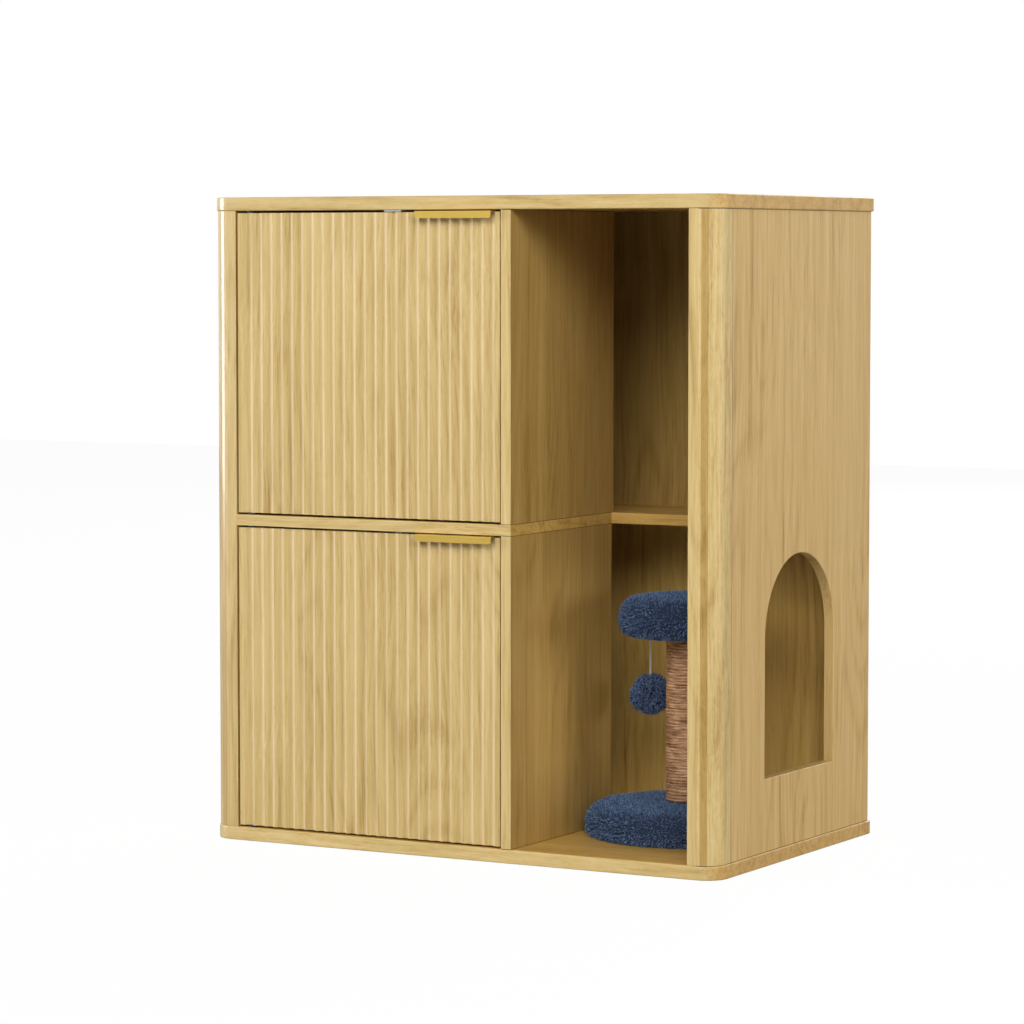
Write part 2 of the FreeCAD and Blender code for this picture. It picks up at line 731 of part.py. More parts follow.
def cam_positions():
    """Where the cam joints lie: seat, direction, bolt board, cam board and the cam's mouth."""
    positions = []
    front_row_y = post_back_y + side_cam_from_post
    back_row_y = back_wall_y - side_cam_from_back_wall
    for side, board in ((-1, "left_side_panel"), (1, "right_side_panel")):
        for row_y in (front_row_y, back_row_y):
            mouth = X_AXIS * -side
            top_seat = Vector(side * side_mid_x, row_y, ceiling_z)
            bottom_seat = Vector(side * side_mid_x, row_y, floor_z)
            positions.append((top_seat, Z_AXIS * -1, "top_panel", board, mouth))
            positions.append((bottom_seat, Z_AXIS, "bottom_panel", board, mouth))
    for row_y in (front_y + divider_cam_from_front, lower_divider_back_y - divider_cam_from_back):
        top_seat = Vector(divider_mid_x, row_y, ceiling_z)
        bottom_seat = Vector(divider_mid_x, row_y, floor_z)
        positions.append((top_seat, Z_AXIS * -1, "top_panel", "upper_divider", X_AXIS * -1))
        positions.append((bottom_seat, Z_AXIS, "bottom_panel", "lower_divider", X_AXIS * -1))
    shelf_mid_z = shelf_bottom_z + board_thickness / 2
    for row_y in (stile_back_y + shelf_cam_from_stile, back_wall_y - shelf_cam_from_back_wall):
        seat = Vector(-inner_x, row_y, shelf_mid_z)
        positions.append((seat, X_AXIS, "left_side_panel", "middle_shelf", Z_AXIS * -1))
    for row_y in (lower_divider_back_y + bay_shelf_cam_from_edge, back_wall_y - bay_shelf_cam_from_edge):
        seat = Vector(inner_x, row_y, shelf_mid_z)
        positions.append((seat, X_AXIS * -1, "right_side_panel", "middle_shelf", Z_AXIS * -1))
    back_panel_cam_x = inner_x - back_panel_cam_from_side
    for row_x in (-back_panel_cam_x, back_panel_cam_x):
        top_seat = Vector(row_x, back_panel_mid_y, ceiling_z)
        bottom_seat = Vector(row_x, back_panel_mid_y, floor_z)
        positions.append((top_seat, Z_AXIS * -1, "top_panel", "upper_back_panel", Y_AXIS))
        positions.append((bottom_seat, Z_AXIS, "bottom_panel", "lower_back_panel", Y_AXIS))
    return positions


def make_cam_joints():
    bolts, cams = [], []
    for position in cam_positions():
        bolt, cam = cam_joint(*position)
        bolts.append(bolt)
        cams.append(cam)
    group("cam_bolts", bolts)
    group("cam_nuts", cams)


def make_dowels():
    dowels = []
    post_x = side_x - post_dowel_from_side
    post_y = post_back_y - post_dowel_from_back
    stile_x = stile_outer_x - stile_width / 2
    stile_y = front_y + stile_depth / 2
    for side, name in ((-1, "left"), (1, "right")):
        post, stile, panel = name + "_corner_post", name + "_front_stile", name + "_side_panel"
        for x, y, board in ((post_x, post_y, post), (stile_x, stile_y, stile)):
            dowels.append(dowel(Vector(side * x, y, ceiling_z), Z_AXIS, "top_panel", board))
            dowels.append(dowel(Vector(side * x, y, floor_z), Z_AXIS * -1, "bottom_panel", board))
        for z in (floor_z + post_joint_dowel_from_end, ceiling_z - post_joint_dowel_from_end):
            dowels.append(dowel(Vector(side * side_mid_x, post_back_y, z), Y_AXIS * -1, post, panel))
        for low_z, high_z, board in (
                (floor_z, shelf_bottom_z, "lower_back_panel"), (shelf_top_z, ceiling_z, "upper_back_panel")):
            for z in (low_z + back_panel_dowel_from_end, high_z - back_panel_dowel_from_end):
                seat = Vector(side * inner_x, back_panel_mid_y, z)
                dowels.append(dowel(seat, X_AXIS * side, panel, board))
    group("wood_dowels", dowels)

    through = []
    first_y = front_y + shelf_dowel_from_front
    last_y = lower_divider_back_y - shelf_dowel_from_divider_back
    for y in (first_y, (first_y + last_y) / 2, last_y):
        seat = Vector(divider_mid_x, y, 0)
        through.append(through_dowel(seat, "lower_divider", "middle_shelf", "upper_divider"))
    back_panel_dowel_x = inner_x - shelf_dowel_from_side
    for x in (-back_panel_dowel_x, back_panel_dowel_x):
        seat = Vector(x, back_panel_mid_y, 0)
        through.append(through_dowel(seat, "lower_back_panel", "middle_shelf", "upper_back_panel"))
    group("shelf_through_dowels", through)


# ---------------------------------------------------------------- cat tree
def base_cover(board_radius):
    """Plush pad over the base board: flat below, crowned on top, hollow for its board."""
    radius, top_z = base_cover_radius, base_cover_top_z
    top_r, low_r = base_top_radius, base_bottom_radius
    recess_z = floor_z + board_thickness + core_clearance
    recess_r = board_radius + core_clearance
    hole_r = core_radius + core_clearance
    crown_start = Vector(hole_r, 0, top_z)
    crown_end = Vector(radius - top_r, 0, top_z - cushion_crown)
    crown_mid = Vector((hole_r + radius - top_r) / 2, 0, top_z - cushion_crown * crown_drop_half_way)
    rim_z = top_z - cushion_crown - top_r
    edges = [
        arc(crown_start, crown_mid, crown_end),
        profile_arc(radius - top_r, rim_z, top_r, 90, 0),
        line(Vector(radius, 0, rim_z), Vector(radius, 0, floor_z + low_r)),
        profile_arc(radius - low_r, floor_z + low_r, low_r, 0, -90),
        line(Vector(radius - low_r, 0, floor_z), Vector(recess_r, 0, floor_z)),
        line(Vector(recess_r, 0, floor_z), Vector(recess_r, 0, recess_z)),
        line(Vector(recess_r, 0, recess_z), Vector(hole_r, 0, recess_z)),
        line(Vector(hole_r, 0, recess_z), crown_start),
    ]
    return turned(edges, tree_x, tree_y)


def perch_cover(board_radius):
    """Plush pad wrapped right round the perch board, with a hole below for the pole."""
    low_z = perch_underside_height
    top_z = low_z + perch_height
    top_r, low_r = perch_top_radius, perch_bottom_radius
    cavity_low_z = perch_board_z - core_clearance
    cavity_high_z = perch_board_z + board_thickness + core_clearance
    cavity_r = board_radius + core_clearance
    hole_r = core_radius + core_clearance
    rim_top_z = top_z - cushion_crown - top_r
    rim_low_z = low_z + low_r
    crown_end = Vector(perch_radius - top_r, 0, top_z - cushion_crown)
    crown_mid = Vector((perch_radius - top_r) / 2, 0, top_z - cushion_crown * crown_drop_half_way)
    edges = [
        arc(Vector(0, 0, top_z), crown_mid, crown_end),
        profile_arc(perch_radius - top_r, rim_top_z, top_r, 90, 0),
        line(Vector(perch_radius, 0, rim_top_z), Vector(perch_radius, 0, rim_low_z)),
        profile_arc(perch_radius - low_r, rim_low_z, low_r, 0, -90),
        line(Vector(perch_radius - low_r, 0, low_z), Vector(hole_r, 0, low_z)),
        line(Vector(hole_r, 0, low_z), Vector(hole_r, 0, cavity_low_z)),
        line(Vector(hole_r, 0, cavity_low_z), Vector(cavity_r, 0, cavity_low_z)),
        line(Vector(cavity_r, 0, cavity_low_z), Vector(cavity_r, 0, cavity_high_z)),
        line(Vector(cavity_r, 0, cavity_high_z), Vector(0, 0, cavity_high_z)),
        line(Vector(0, 0, cavity_high_z), Vector(0, 0, top_z)),
    ]
    cover = turned(edges, tree_x, tree_y)
    toy_hole = Part.makeCylinder(toy_hole_radius, perch_skin, Vector(toy_x, toy_y, low_z), Z_AXIS)
    return cover.cut(toy_hole)


def helix_point(turn, pitch, low_z):
    angle = 2 * math.pi * turn
    radial = Vector(math.cos(angle), math.sin(angle), 0) * rope_path_radius
    return radial + Vector(tree_x, tree_y, low_z + pitch * turn)


def helix_tangent(turn, pitch):
    angle = 2 * math.pi * turn
    rise = pitch / (2 * math.pi * rope_path_radius)
    return Vector(-math.sin(angle), math.cos(angle), rise).normalize()


def biarc(start, start_tangent, end, end_tangent):
    """Two arcs that join smoothly, given both ends and the direction at each."""
    chord = end - start
    tangent_sum = start_tangent + end_tangent
    a = tangent_sum.dot(tangent_sum) - 4
    b = -2 * chord.dot(tangent_sum)
    c = chord.dot(chord)
    reach = (-b - math.sqrt(b * b - 4 * a * c)) / (2 * a)
    if reach < 0:
        reach = (-b + math.sqrt(b * b - 4 * a * c)) / (2 * a)
    first_corner = start + start_tangent * reach
    second_corner = end - end_tangent * reach
    joint = (first_corner + second_corner) * 0.5
    return [
        arc_between(start, first_corner, joint),
        arc_between(joint, second_corner, end),
    ]


def arc_between(start, corner, end):
    """The arc that leaves start towards the corner and comes to end from it."""
    half_chord = (end - start).Length / 2
    side = (corner - start).Length
    mid_chord = (start + end) * 0.5
    height = math.sqrt(side * side - half_chord * half_chord)
    rise = half_chord * (side - half_chord) / height
    towards = (corner - mid_chord).normalize()
    return arc(start, mid_chord + towards * rise, end)


def sisal_winding():
    """Rope wound round the core tube as one unbroken tube with straight ends."""
    tail_rise = rope_diameter / (2 * math.pi * rope_path_radius) * rope_diameter
    end_room = rope_end_clearance + rope_diameter / 2 + tail_rise
    low_z = base_cover_top_z + end_room
    high_z = perch_underside_height - end_room
    pitch = (high_z - low_z) / rope_loops
    steps_per_turn = 4
    step_count = rope_loops * steps_per_turn
    start, start_tangent = helix_point(0, pitch, low_z), helix_tangent(0, pitch)
    end, end_tangent = helix_point(rope_loops, pitch, low_z), helix_tangent(rope_loops, pitch)
    tail = start - start_tangent * rope_diameter
    edges = [line(tail, start)]
    for index in range(step_count):
        turn, next_turn = index / steps_per_turn, (index + 1) / steps_per_turn
        here, there = helix_point(turn, pitch, low_z), helix_point(next_turn, pitch, low_z)
        edges += biarc(here, helix_tangent(turn, pitch), there, helix_tangent(next_turn, pitch))
    edges.append(line(end, end + end_tangent * rope_diameter))
    path = Part.Wire(edges)
    circle = Part.makeCircle(rope_diameter / 2, tail, start_tangent)
    tube = path.makePipeShell([Part.Wire([circle])], True, False)
    report_winding(path, tube, pitch)
    return tube


def report_winding(path, tube, pitch):
    """Print the winding's least gap to itself and its volume against section times length."""
    samples_per_turn = 48
    samples = path.discretize(Number=rope_loops * samples_per_turn)
    skip = samples_per_turn // 2
    least = min(
        (samples[i] - samples[j]).Length
        for i in range(len(samples))
        for j in range(i + skip, min(i + 3 * skip, len(samples))))
    section = math.pi * rope_diameter ** 2 / 4
    print("winding pitch %.3f, least gap to itself %.3f" % (pitch, least - rope_diameter))
    print("winding volume %.0f, section times length %.0f" % (tube.Volume, section * path.Length))


def socket_bolt(head_start, direction, length):
    """Flat-head bolt with a hexagon socket; the head's outer face is at head_start."""
    head = Part.makeCylinder(bolt_head_radius, bolt_head_height, head_start, direction)
    shank = Part.makeCylinder(bolt_radius, length, head_start, direction)
    socket = Part.makeCylinder(bolt_socket_radius, bolt_socket_depth, head_start, direction)
    return head.fuse(shank).removeSplitter().cut(socket)


def bolt_recess(head_start, direction, length):
    """The space that a bolt and its head take, with clearance."""
    out_start = head_start - direction * bolt_head_recess
    head_height = bolt_head_height + bolt_head_recess
    head = Part.makeCylinder(bolt_head_radius + insert_clearance, head_height, out_start, direction)
    shank = Part.makeCylinder(bolt_radius + insert_clearance, length, out_start, direction)
    return head.fuse(shank)


def make_tree():
    base_board_radius = base_cover_radius - base_board_margin
    perch_board_radius = perch_radius - perch_board_margin
    centre = Vector(tree_x, tree_y, 0)
    core_low_z = floor_z + board_thickness
    core_length = perch_board_z - core_low_z
    plug_radius = core_radius - core_wall - insert_clearance

    core = Part.makeCylinder(core_radius, core_length, centre + Z_AXIS * core_low_z)
    core = core.cut(Part.makeCylinder(core_radius - core_wall, core_length, centre + Z_AXIS * core_low_z))
    base_board = Part.makeCylinder(base_board_radius, board_thickness, centre + Z_AXIS * floor_z)
    perch_board = Part.makeCylinder(perch_board_radius, board_thickness, centre + Z_AXIS * perch_board_z)
    low_plug = Part.makeCylinder(plug_radius, plug_height, centre + Z_AXIS * core_low_z)
    high_plug_z = perch_board_z - plug_height
    high_plug = Part.makeCylinder(plug_radius, plug_height, centre + Z_AXIS * high_plug_z)

    anchor_start = centre + Z_AXIS * bolt_head_recess
    anchor_length = core_low_z - bolt_head_recess + bolt_in_plug
    anchor_space = bolt_recess(anchor_start, Z_AXIS, anchor_length + 2 * bolt_head_recess)
    perch_start = centre + Z_AXIS * (perch_board_z + board_thickness - bolt_head_recess)
    perch_bolt_length = board_thickness - bolt_head_recess + bolt_in_plug
    perch_space = bolt_recess(perch_start, Z_AXIS * -1, perch_bolt_length + 2 * bolt_head_recess)

    mill("bottom_panel", anchor_space)
    eye_hole_start = Vector(toy_x, toy_y, perch_board_z)
    eye_hole_radius = screw_eye_shank_radius + insert_clearance
    eye_hole_depth = screw_eye_shank_length + hole_end_clearance
    eye_hole = Part.makeCylinder(eye_hole_radius, eye_hole_depth, eye_hole_start)
    nodes["tree_base_board"] = base_board.cut(anchor_space)
    nodes["perch_board"] = perch_board.cut([perch_space, eye_hole])
    group("pole_end_plugs", [low_plug.cut(anchor_space), high_plug.cut(perch_space)])
    nodes["pole_core_tube"] = core
    nodes["tree_anchor_bolt"] = socket_bolt(anchor_start, Z_AXIS, anchor_length)
    nodes["perch_bolt"] = socket_bolt(perch_start, Z_AXIS * -1, perch_bolt_length)
    nodes["tree_base_cover"] = base_cover(base_board_radius)
    nodes["perch_cover"] = perch_cover(perch_board_radius)
    nodes["sisal_winding"] = sisal_winding()


# ---------------------------------------------------------------- hanging toy
def ring(centre, normal, ring_radius, wire_radius):
    return Part.makeTorus(ring_radius, wire_radius, centre, normal)


def make_toy():
    """Screw eye, link ring, knot, cord and pompom, one below the other."""
    outward = Vector(math.cos(toy_angle), math.sin(toy_angle), 0)
    sideways = Vector(-outward.y, outward.x, 0)
    eye_z = perch_board_z - screw_eye_ring_radius - screw_eye_wire_radius
    eye_centre = Vector(toy_x, toy_y, eye_z)
    eye_wire_z = eye_z - screw_eye_ring_radius
    shank_low_z = eye_z + screw_eye_ring_radius
    shank_length = perch_board_z + screw_eye_shank_length - shank_low_z
    shank = Part.makeCylinder(screw_eye_shank_radius, shank_length, Vector(toy_x, toy_y, shank_low_z))
    eye = ring(eye_centre, outward, screw_eye_ring_radius, screw_eye_wire_radius)
    nodes["toy_screw_eye"] = eye.fuse(shank)

    link_top_wire_z = eye_wire_z + screw_eye_wire_radius + toy_play + link_wire_radius
    link_z = link_top_wire_z - link_ring_radius
    link_wire_z = link_z - link_ring_radius
    link_centre = Vector(toy_x, toy_y, link_z)
    nodes["toy_link_ring"] = ring(link_centre, sideways, link_ring_radius, link_wire_radius)

    knot_z = link_wire_z - link_wire_radius - toy_play - knot_radius
    cord_top_z = knot_z - math.sqrt(knot_radius ** 2 - cord_radius ** 2)
    cord_low_z = cord_top_z - cord_length
    pompom_z = cord_low_z - math.sqrt(pompom_radius ** 2 - cord_radius ** 2)
    nodes["toy_knot"] = flat_cut_ball(knot_radius, knot_z, cord_top_z, -1)
    nodes["toy_cord"] = Part.makeCylinder(cord_radius, cord_length, Vector(toy_x, toy_y, cord_low_z))
    nodes["toy_pompom"] = flat_cut_ball(pompom_radius, pompom_z, cord_low_z, 1)
    print("toy at x %.3f y %.3f" % (toy_x, toy_y))
    print("eye wire z %.3f, link wire z %.3f, cord %.3f to %.3f, pompom centre z %.3f" % (
        eye_wire_z, link_wire_z, cord_top_z, cord_low_z, pompom_z))


def flat_cut_ball(radius, centre_z, flat_z, side):
    """A ball with a small flat where the cord meets it, above (+1) or below (-1)."""
    ball = Part.makeSphere(radius, Vector(toy_x, toy_y, centre_z))
    size = 2 * radius
    low_z = flat_z if side > 0 else flat_z - size
    cutter = box(toy_x - size, toy_x + size, toy_y - size, toy_y + size, low_z, low_z + size)
    return ball.cut(cutter)


# ---------------------------------------------------------------- build and write
def cut_holes():
    for board, tools in hole_tools.items():
        nodes[board] = nodes[board].cut(tools)


def write_parts():
    os.makedirs("parts", exist_ok=True)
    for name, shape in nodes.items():
        for solid in shape.Solids:
            if not solid.isValid() or solid.Volume <= 0:
                print("not a sound solid in", name)
        shape.exportStep("parts/" + name + ".step")
    print(len(nodes), "nodes,", sum(len(shape.Solids) for shape in nodes.values()), "solids")


make_carcass()
make_doors()
make_cam_joints()
make_dowels()
make_tree()
make_toy()
cut_holes()
write_parts()
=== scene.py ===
"""Looks of the cat litter box cabinet: oak grain, gold pulls, plush pads, wound pole and toy.

Metres, in the part's own frame: +X to the right along the front, +Y to the back, +Z up.
Colours in srgb() are display values, 0 to 255. Noise scales are in cells per metre.
"""
import bpy
import math
import numpy as np
from mathutils import Euler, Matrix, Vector


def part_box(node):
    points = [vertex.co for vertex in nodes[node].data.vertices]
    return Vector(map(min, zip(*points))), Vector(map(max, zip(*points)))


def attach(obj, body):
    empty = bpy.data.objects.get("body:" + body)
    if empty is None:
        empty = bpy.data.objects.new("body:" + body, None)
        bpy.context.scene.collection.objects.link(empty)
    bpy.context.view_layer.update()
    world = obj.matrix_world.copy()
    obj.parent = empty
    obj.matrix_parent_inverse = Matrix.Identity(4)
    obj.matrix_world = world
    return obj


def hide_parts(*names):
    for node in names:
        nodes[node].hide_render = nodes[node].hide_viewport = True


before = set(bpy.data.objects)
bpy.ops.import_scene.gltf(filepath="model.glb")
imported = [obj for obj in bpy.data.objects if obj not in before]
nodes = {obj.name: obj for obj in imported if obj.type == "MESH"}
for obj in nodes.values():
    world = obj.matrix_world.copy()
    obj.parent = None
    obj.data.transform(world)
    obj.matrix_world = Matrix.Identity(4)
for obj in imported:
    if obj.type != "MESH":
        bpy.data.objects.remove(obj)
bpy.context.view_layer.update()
MM = 0.001


# ---------------------------------------------------------------- colours and materials
# The sockets of the Mix node that carry colours.
MIX_A = 6
MIX_B = 7
MIX_RESULT = 2


def srgb(red, green, blue):
    """A display colour, 0 to 255, as the linear colour that shaders take."""
    channels = []
    for value in (red, green, blue):
        share = value / 255
        channels.append(share / 12.92 if share <= 0.04045 else ((share + 0.055) / 1.055) ** 2.4)
    return (*channels, 1.0)


class Material:
    """A procedural material, with short calls for the nodes that it uses."""

    def __init__(self, name):
        self.data = bpy.data.materials.new(name)
        self.data.use_nodes = True
        self.nodes = self.data.node_tree.nodes
        self.shader = self.nodes["Principled BSDF"]
        coordinates = self.nodes.new("ShaderNodeTexCoord").outputs
        self.place = coordinates["Object"]
        self.facing = coordinates["Normal"]

    def plug(self, socket, value):
        """Link a node's output to a socket, or set the socket to a constant."""
        if isinstance(value, bpy.types.NodeSocket):
            self.data.node_tree.links.new(value, socket)
        else:
            socket.default_value = value

    def set(self, **values):
        """Constant or linked values on the shader's own sockets, such as Base_Color."""
        for name, value in values.items():
            self.plug(self.shader.inputs[name.replace("_", " ")], value)

    def maths(self, operation, a, b=0.0, clamp=False):
        """One step of arithmetic. A clamped result stays between zero and one."""
        node = self.nodes.new("ShaderNodeMath")
        node.operation = operation
        node.use_clamp = clamp
        self.plug(node.inputs[0], a)
        self.plug(node.inputs[1], b)
        return node.outputs[0]

    def plus(self, base, value, share):
        """The base with a share of the value added."""
        return self.maths("ADD", base, self.maths("MULTIPLY", value, share))

    def centred(self, value, reach):
        """A noise value moved to swing about zero, by about reach each way."""
        return self.maths("MULTIPLY", self.maths("SUBTRACT", value, 0.5), 2 * reach)

    def above(self, value, start, gain):
        """Zero up to start, then rising by gain, and one at the most."""
        return self.maths("MULTIPLY", self.maths("SUBTRACT", value, start), gain, clamp=True)

    def vector_maths(self, operation, a, b):
        node = self.nodes.new("ShaderNodeVectorMath")
        node.operation = operation
        self.plug(node.inputs[0], a)
        self.plug(node.inputs[1], b)
        return node.outputs[0]

    def split(self, vector):
        """A vector's X, Y and Z."""
        node = self.nodes.new("ShaderNodeSeparateXYZ")
        self.plug(node.inputs[0], vector)
        return node.outputs

    def joined(self, x, y, z):
        """A vector from its X, Y and Z."""
        node = self.nodes.new("ShaderNodeCombineXYZ")
        for socket, value in zip(node.inputs, (x, y, z)):
            self.plug(socket, value)
        return node.outputs[0]

    def scaled(self, vector, scale, offset=(0, 0, 0)):
        """A vector multiplied by scale and then moved by offset."""
        node = self.nodes.new("ShaderNodeMapping")
        self.plug(node.inputs["Vector"], vector)
        node.inputs["Location"].default_value = offset
        node.inputs["Scale"].default_value = scale
        return node.outputs[0]

    def noise(self, vector, scale, offset=(0, 0, 0), detail=2.0, roughness=0.5, distortion=0.0,
              output="Fac"):
        """Noise with its own number of cells per metre along each axis."""
        node = self.nodes.new("ShaderNodeTexNoise")
        self.plug(node.inputs["Vector"], self.scaled(vector, scale, offset))
        node.inputs["Scale"].default_value = 1.0
        node.inputs["Detail"].default_value = detail
        node.inputs["Roughness"].default_value = roughness
        node.inputs["Distortion"].default_value = distortion
        return node.outputs[output]

    def ramp(self, factor, stops):
        """A colour ramp from (position, colour) stops."""
        node = self.nodes.new("ShaderNodeValToRGB")
        elements = node.color_ramp.elements
        elements[0].position, elements[0].color = stops[0]
        elements[1].position, elements[1].color = stops[-1]
        for position, color in stops[1:-1]:
            elements.new(position).color = color
        self.plug(node.inputs[0], factor)
        return node.outputs[0]

    def mix(self, factor, a, b, blend="MIX"):
        """Colour a where the factor is zero, blended with colour b where it is one."""
        node = self.nodes.new("ShaderNodeMix")
        node.data_type = "RGBA"
        node.blend_type = blend
        self.plug(node.inputs[0], factor)
        self.plug(node.inputs[MIX_A], a)
        self.plug(node.inputs[MIX_B], b)
        return node.outputs[MIX_RESULT]

    def attribute(self, name):
        """A value that the mesh holds at each point."""
        node = self.nodes.new("ShaderNodeAttribute")
        node.attribute_name = name
        return node.outputs["Fac"]

    def bump(self, height, distance, strength):
        node = self.nodes.new("ShaderNodeBump")
        node.inputs["Distance"].default_value = distance
        node.inputs["Strength"].default_value = strength
        self.plug(node.inputs["Height"], height)
        self.plug(self.shader.inputs["Normal"], node.outputs[0])


def paint(node, material):
    """Give a CAD node its material."""
    slots = nodes[node].data.materials
    slots.clear()
    slots.append(material)


# ---------------------------------------------------------------- oak laminate
# The tone of the figure, from the palest oak to the darkest.
OAK_STOPS = [
    (0.0, srgb(216, 191, 136)),
    (0.35, srgb(202, 175, 115)),
    (0.7, srgb(174, 143, 84)),
    (1.0, srgb(134, 102, 54)),
]
MEAN_TONE = 0.3
STREAK_REACH = 0.55
RING_SHARE = 0.18
FIBRE_REACH = 0.55
PORE_SHARE = 0.14

# The wave of the growth rings, in radians over the height of its noise, and how thin they are.
RING_WAVE = 150.0
RING_SHARPNESS = 3.0

# The bends of the grain: noise scale, and how far they move it across itself.
SWAYS = [
    ((4, 4, 1.6), 50 * MM),
    ((20, 20, 4), 1.6 * MM),
]
SEED_STEP = (3.17, 1.91, 0.73)

# The figure changes this much slower into a fluted door, so that its flutes don't break it up.
FLUTED_DEPTH_SCALE = 0.1

# Tints that multiply the oak's colour. All but OUTER, which leaves it as it is, are painted shade.
OUTER = srgb(255, 255, 255)
# Painted shade on the right side panel.
SIDE_SHADE = srgb(255, 245, 236)
# Painted shade on the top panel.
TOP_SHADE = srgb(247, 246, 242)
# Painted shade on the right-facing ends of boards with grain along X.
RIGHT_END_SHADE = srgb(246, 229, 206)
# Painted shade on the cabinet's inner faces.
INNER_SHADE = srgb(226, 213, 182)
# Lighter painted shade on the inner faces that take more light.
INNER_LIGHT_SHADE = srgb(255, 240, 200)

# Planes between the cabinet's inner faces, which get painted shade, and its outer faces.
INSIDE_X = 380 * MM
INSIDE_Y = (-244.7 * MM, 230 * MM)
INSIDE_Z = (18.5 * MM, 881.5 * MM)

# A painted highlight: a pale line on each flute's left-facing wall, where light from the left
# falls.
FLUTE_HIGHLIGHT = srgb(236, 218, 184)
FLUTE_HIGHLIGHT_SHARE = 0.28
FLUTE_HIGHLIGHT_REACH = 0.35

# Painted shade: thin dark lines where the gaps between boards would be in shade.
JOINT_SHADE = srgb(40, 28, 14)
JOINT_SHADE_HALF_WIDTH = 0.6 * MM

# Left of this plane the boards have a clear coat, for the bright line down the left corner.
LACQUERED_X = -352 * MM
LACQUER_WEIGHT = 0.8

PORE_DEPTH = 0.6


def swayed(m, space):
    """Bend the grain across itself, in long waves and then in short ones."""
    for scale, reach in SWAYS:
        sway = m.noise(space, scale, output="Color")
        sway = m.vector_maths("SUBTRACT", sway, (0.5, 0.5, 0.5))
        sway = m.vector_maths("MULTIPLY", sway, (reach, reach, 0.0))
        space = m.vector_maths("ADD", space, sway)
    return space


def growth_rings(m, space):
    """Thin dark growth rings: nested long ovals, in some places only."""
    hills = m.noise(space, scale=(6, 6, 1), detail=1, roughness=0.4)
    wave = m.maths("SINE", m.maths("MULTIPLY", hills, RING_WAVE))
    rings = m.maths("ADD", m.maths("MULTIPLY", wave, 0.5), 0.5, clamp=True)
    rings = m.maths("POWER", rings, RING_SHARPNESS)
    where = m.noise(space, scale=(9, 9, 2), offset=(7, 3, 5), detail=1)
    return m.maths("MULTIPLY", rings, m.above(where, start=0.36, gain=3.6))


def oak_figure(m, space, curl):
    """The tone of streaks, rings, fibres, pores and any curl, then the fibres and the pores."""
    streaks = m.noise(space, scale=(60, 60, 0.9), offset=(2, 9, 4), detail=5, roughness=0.68)
    fibres = m.noise(space, scale=(300, 300, 4), detail=4, roughness=0.75)
    pores = m.noise(space, scale=(650, 650, 22), offset=(5, 2, 8), detail=1)
    pores = m.above(pores, start=0.58, gain=7.0)
    tone = m.maths("ADD", MEAN_TONE, m.centred(streaks, STREAK_REACH))
    tone = m.plus(tone, growth_rings(m, space), RING_SHARE)
    tone = m.maths("ADD", tone, m.centred(fibres, FIBRE_REACH))
    tone = m.plus(tone, pores, PORE_SHARE)
    if curl:
        ripple = m.noise(space, scale=(120, 120, 34), detail=4, roughness=0.62, distortion=1.2)
        tone = m.maths("ADD", tone, m.centred(ripple, curl))
    return tone, fibres, pores


def is_inside(m, x, y, z):
    """One on the cabinet's inner faces, which get painted shade, zero on its outer faces."""
    inside = m.maths("LESS_THAN", m.maths("ABSOLUTE", x), INSIDE_X)
    for value, (low, high) in ((y, INSIDE_Y), (z, INSIDE_Z)):
        inside = m.maths("MULTIPLY", inside, m.maths("GREATER_THAN", value, low))
        inside = m.maths("MULTIPLY", inside, m.maths("LESS_THAN", value, high))
    return inside


def with_flute_highlights(m, color):
    """A painted highlight on each flute's left-facing wall, stronger in some places than in others.
    """
    to_left = m.maths("MULTIPLY", m.split(m.facing)[0], -1.0)
    wall = m.above(to_left, start=0.14, gain=4.0)
    share = m.centred(m.noise(m.place, scale=(45, 0, 2)), FLUTE_HIGHLIGHT_REACH)
    share = m.maths("ADD", FLUTE_HIGHLIGHT_SHARE, share, clamp=True)
    return m.mix(m.maths("MULTIPLY", wall, share), color, FLUTE_HIGHLIGHT)


def with_joint_shade(m, color, value, place):
    """A thin line of painted shade where the value, a coordinate, passes a place."""
    distance = m.maths("ABSOLUTE", m.maths("SUBTRACT", value, place))
    return m.mix(m.maths("LESS_THAN", distance, JOINT_SHADE_HALF_WIDTH), color, JOINT_SHADE)


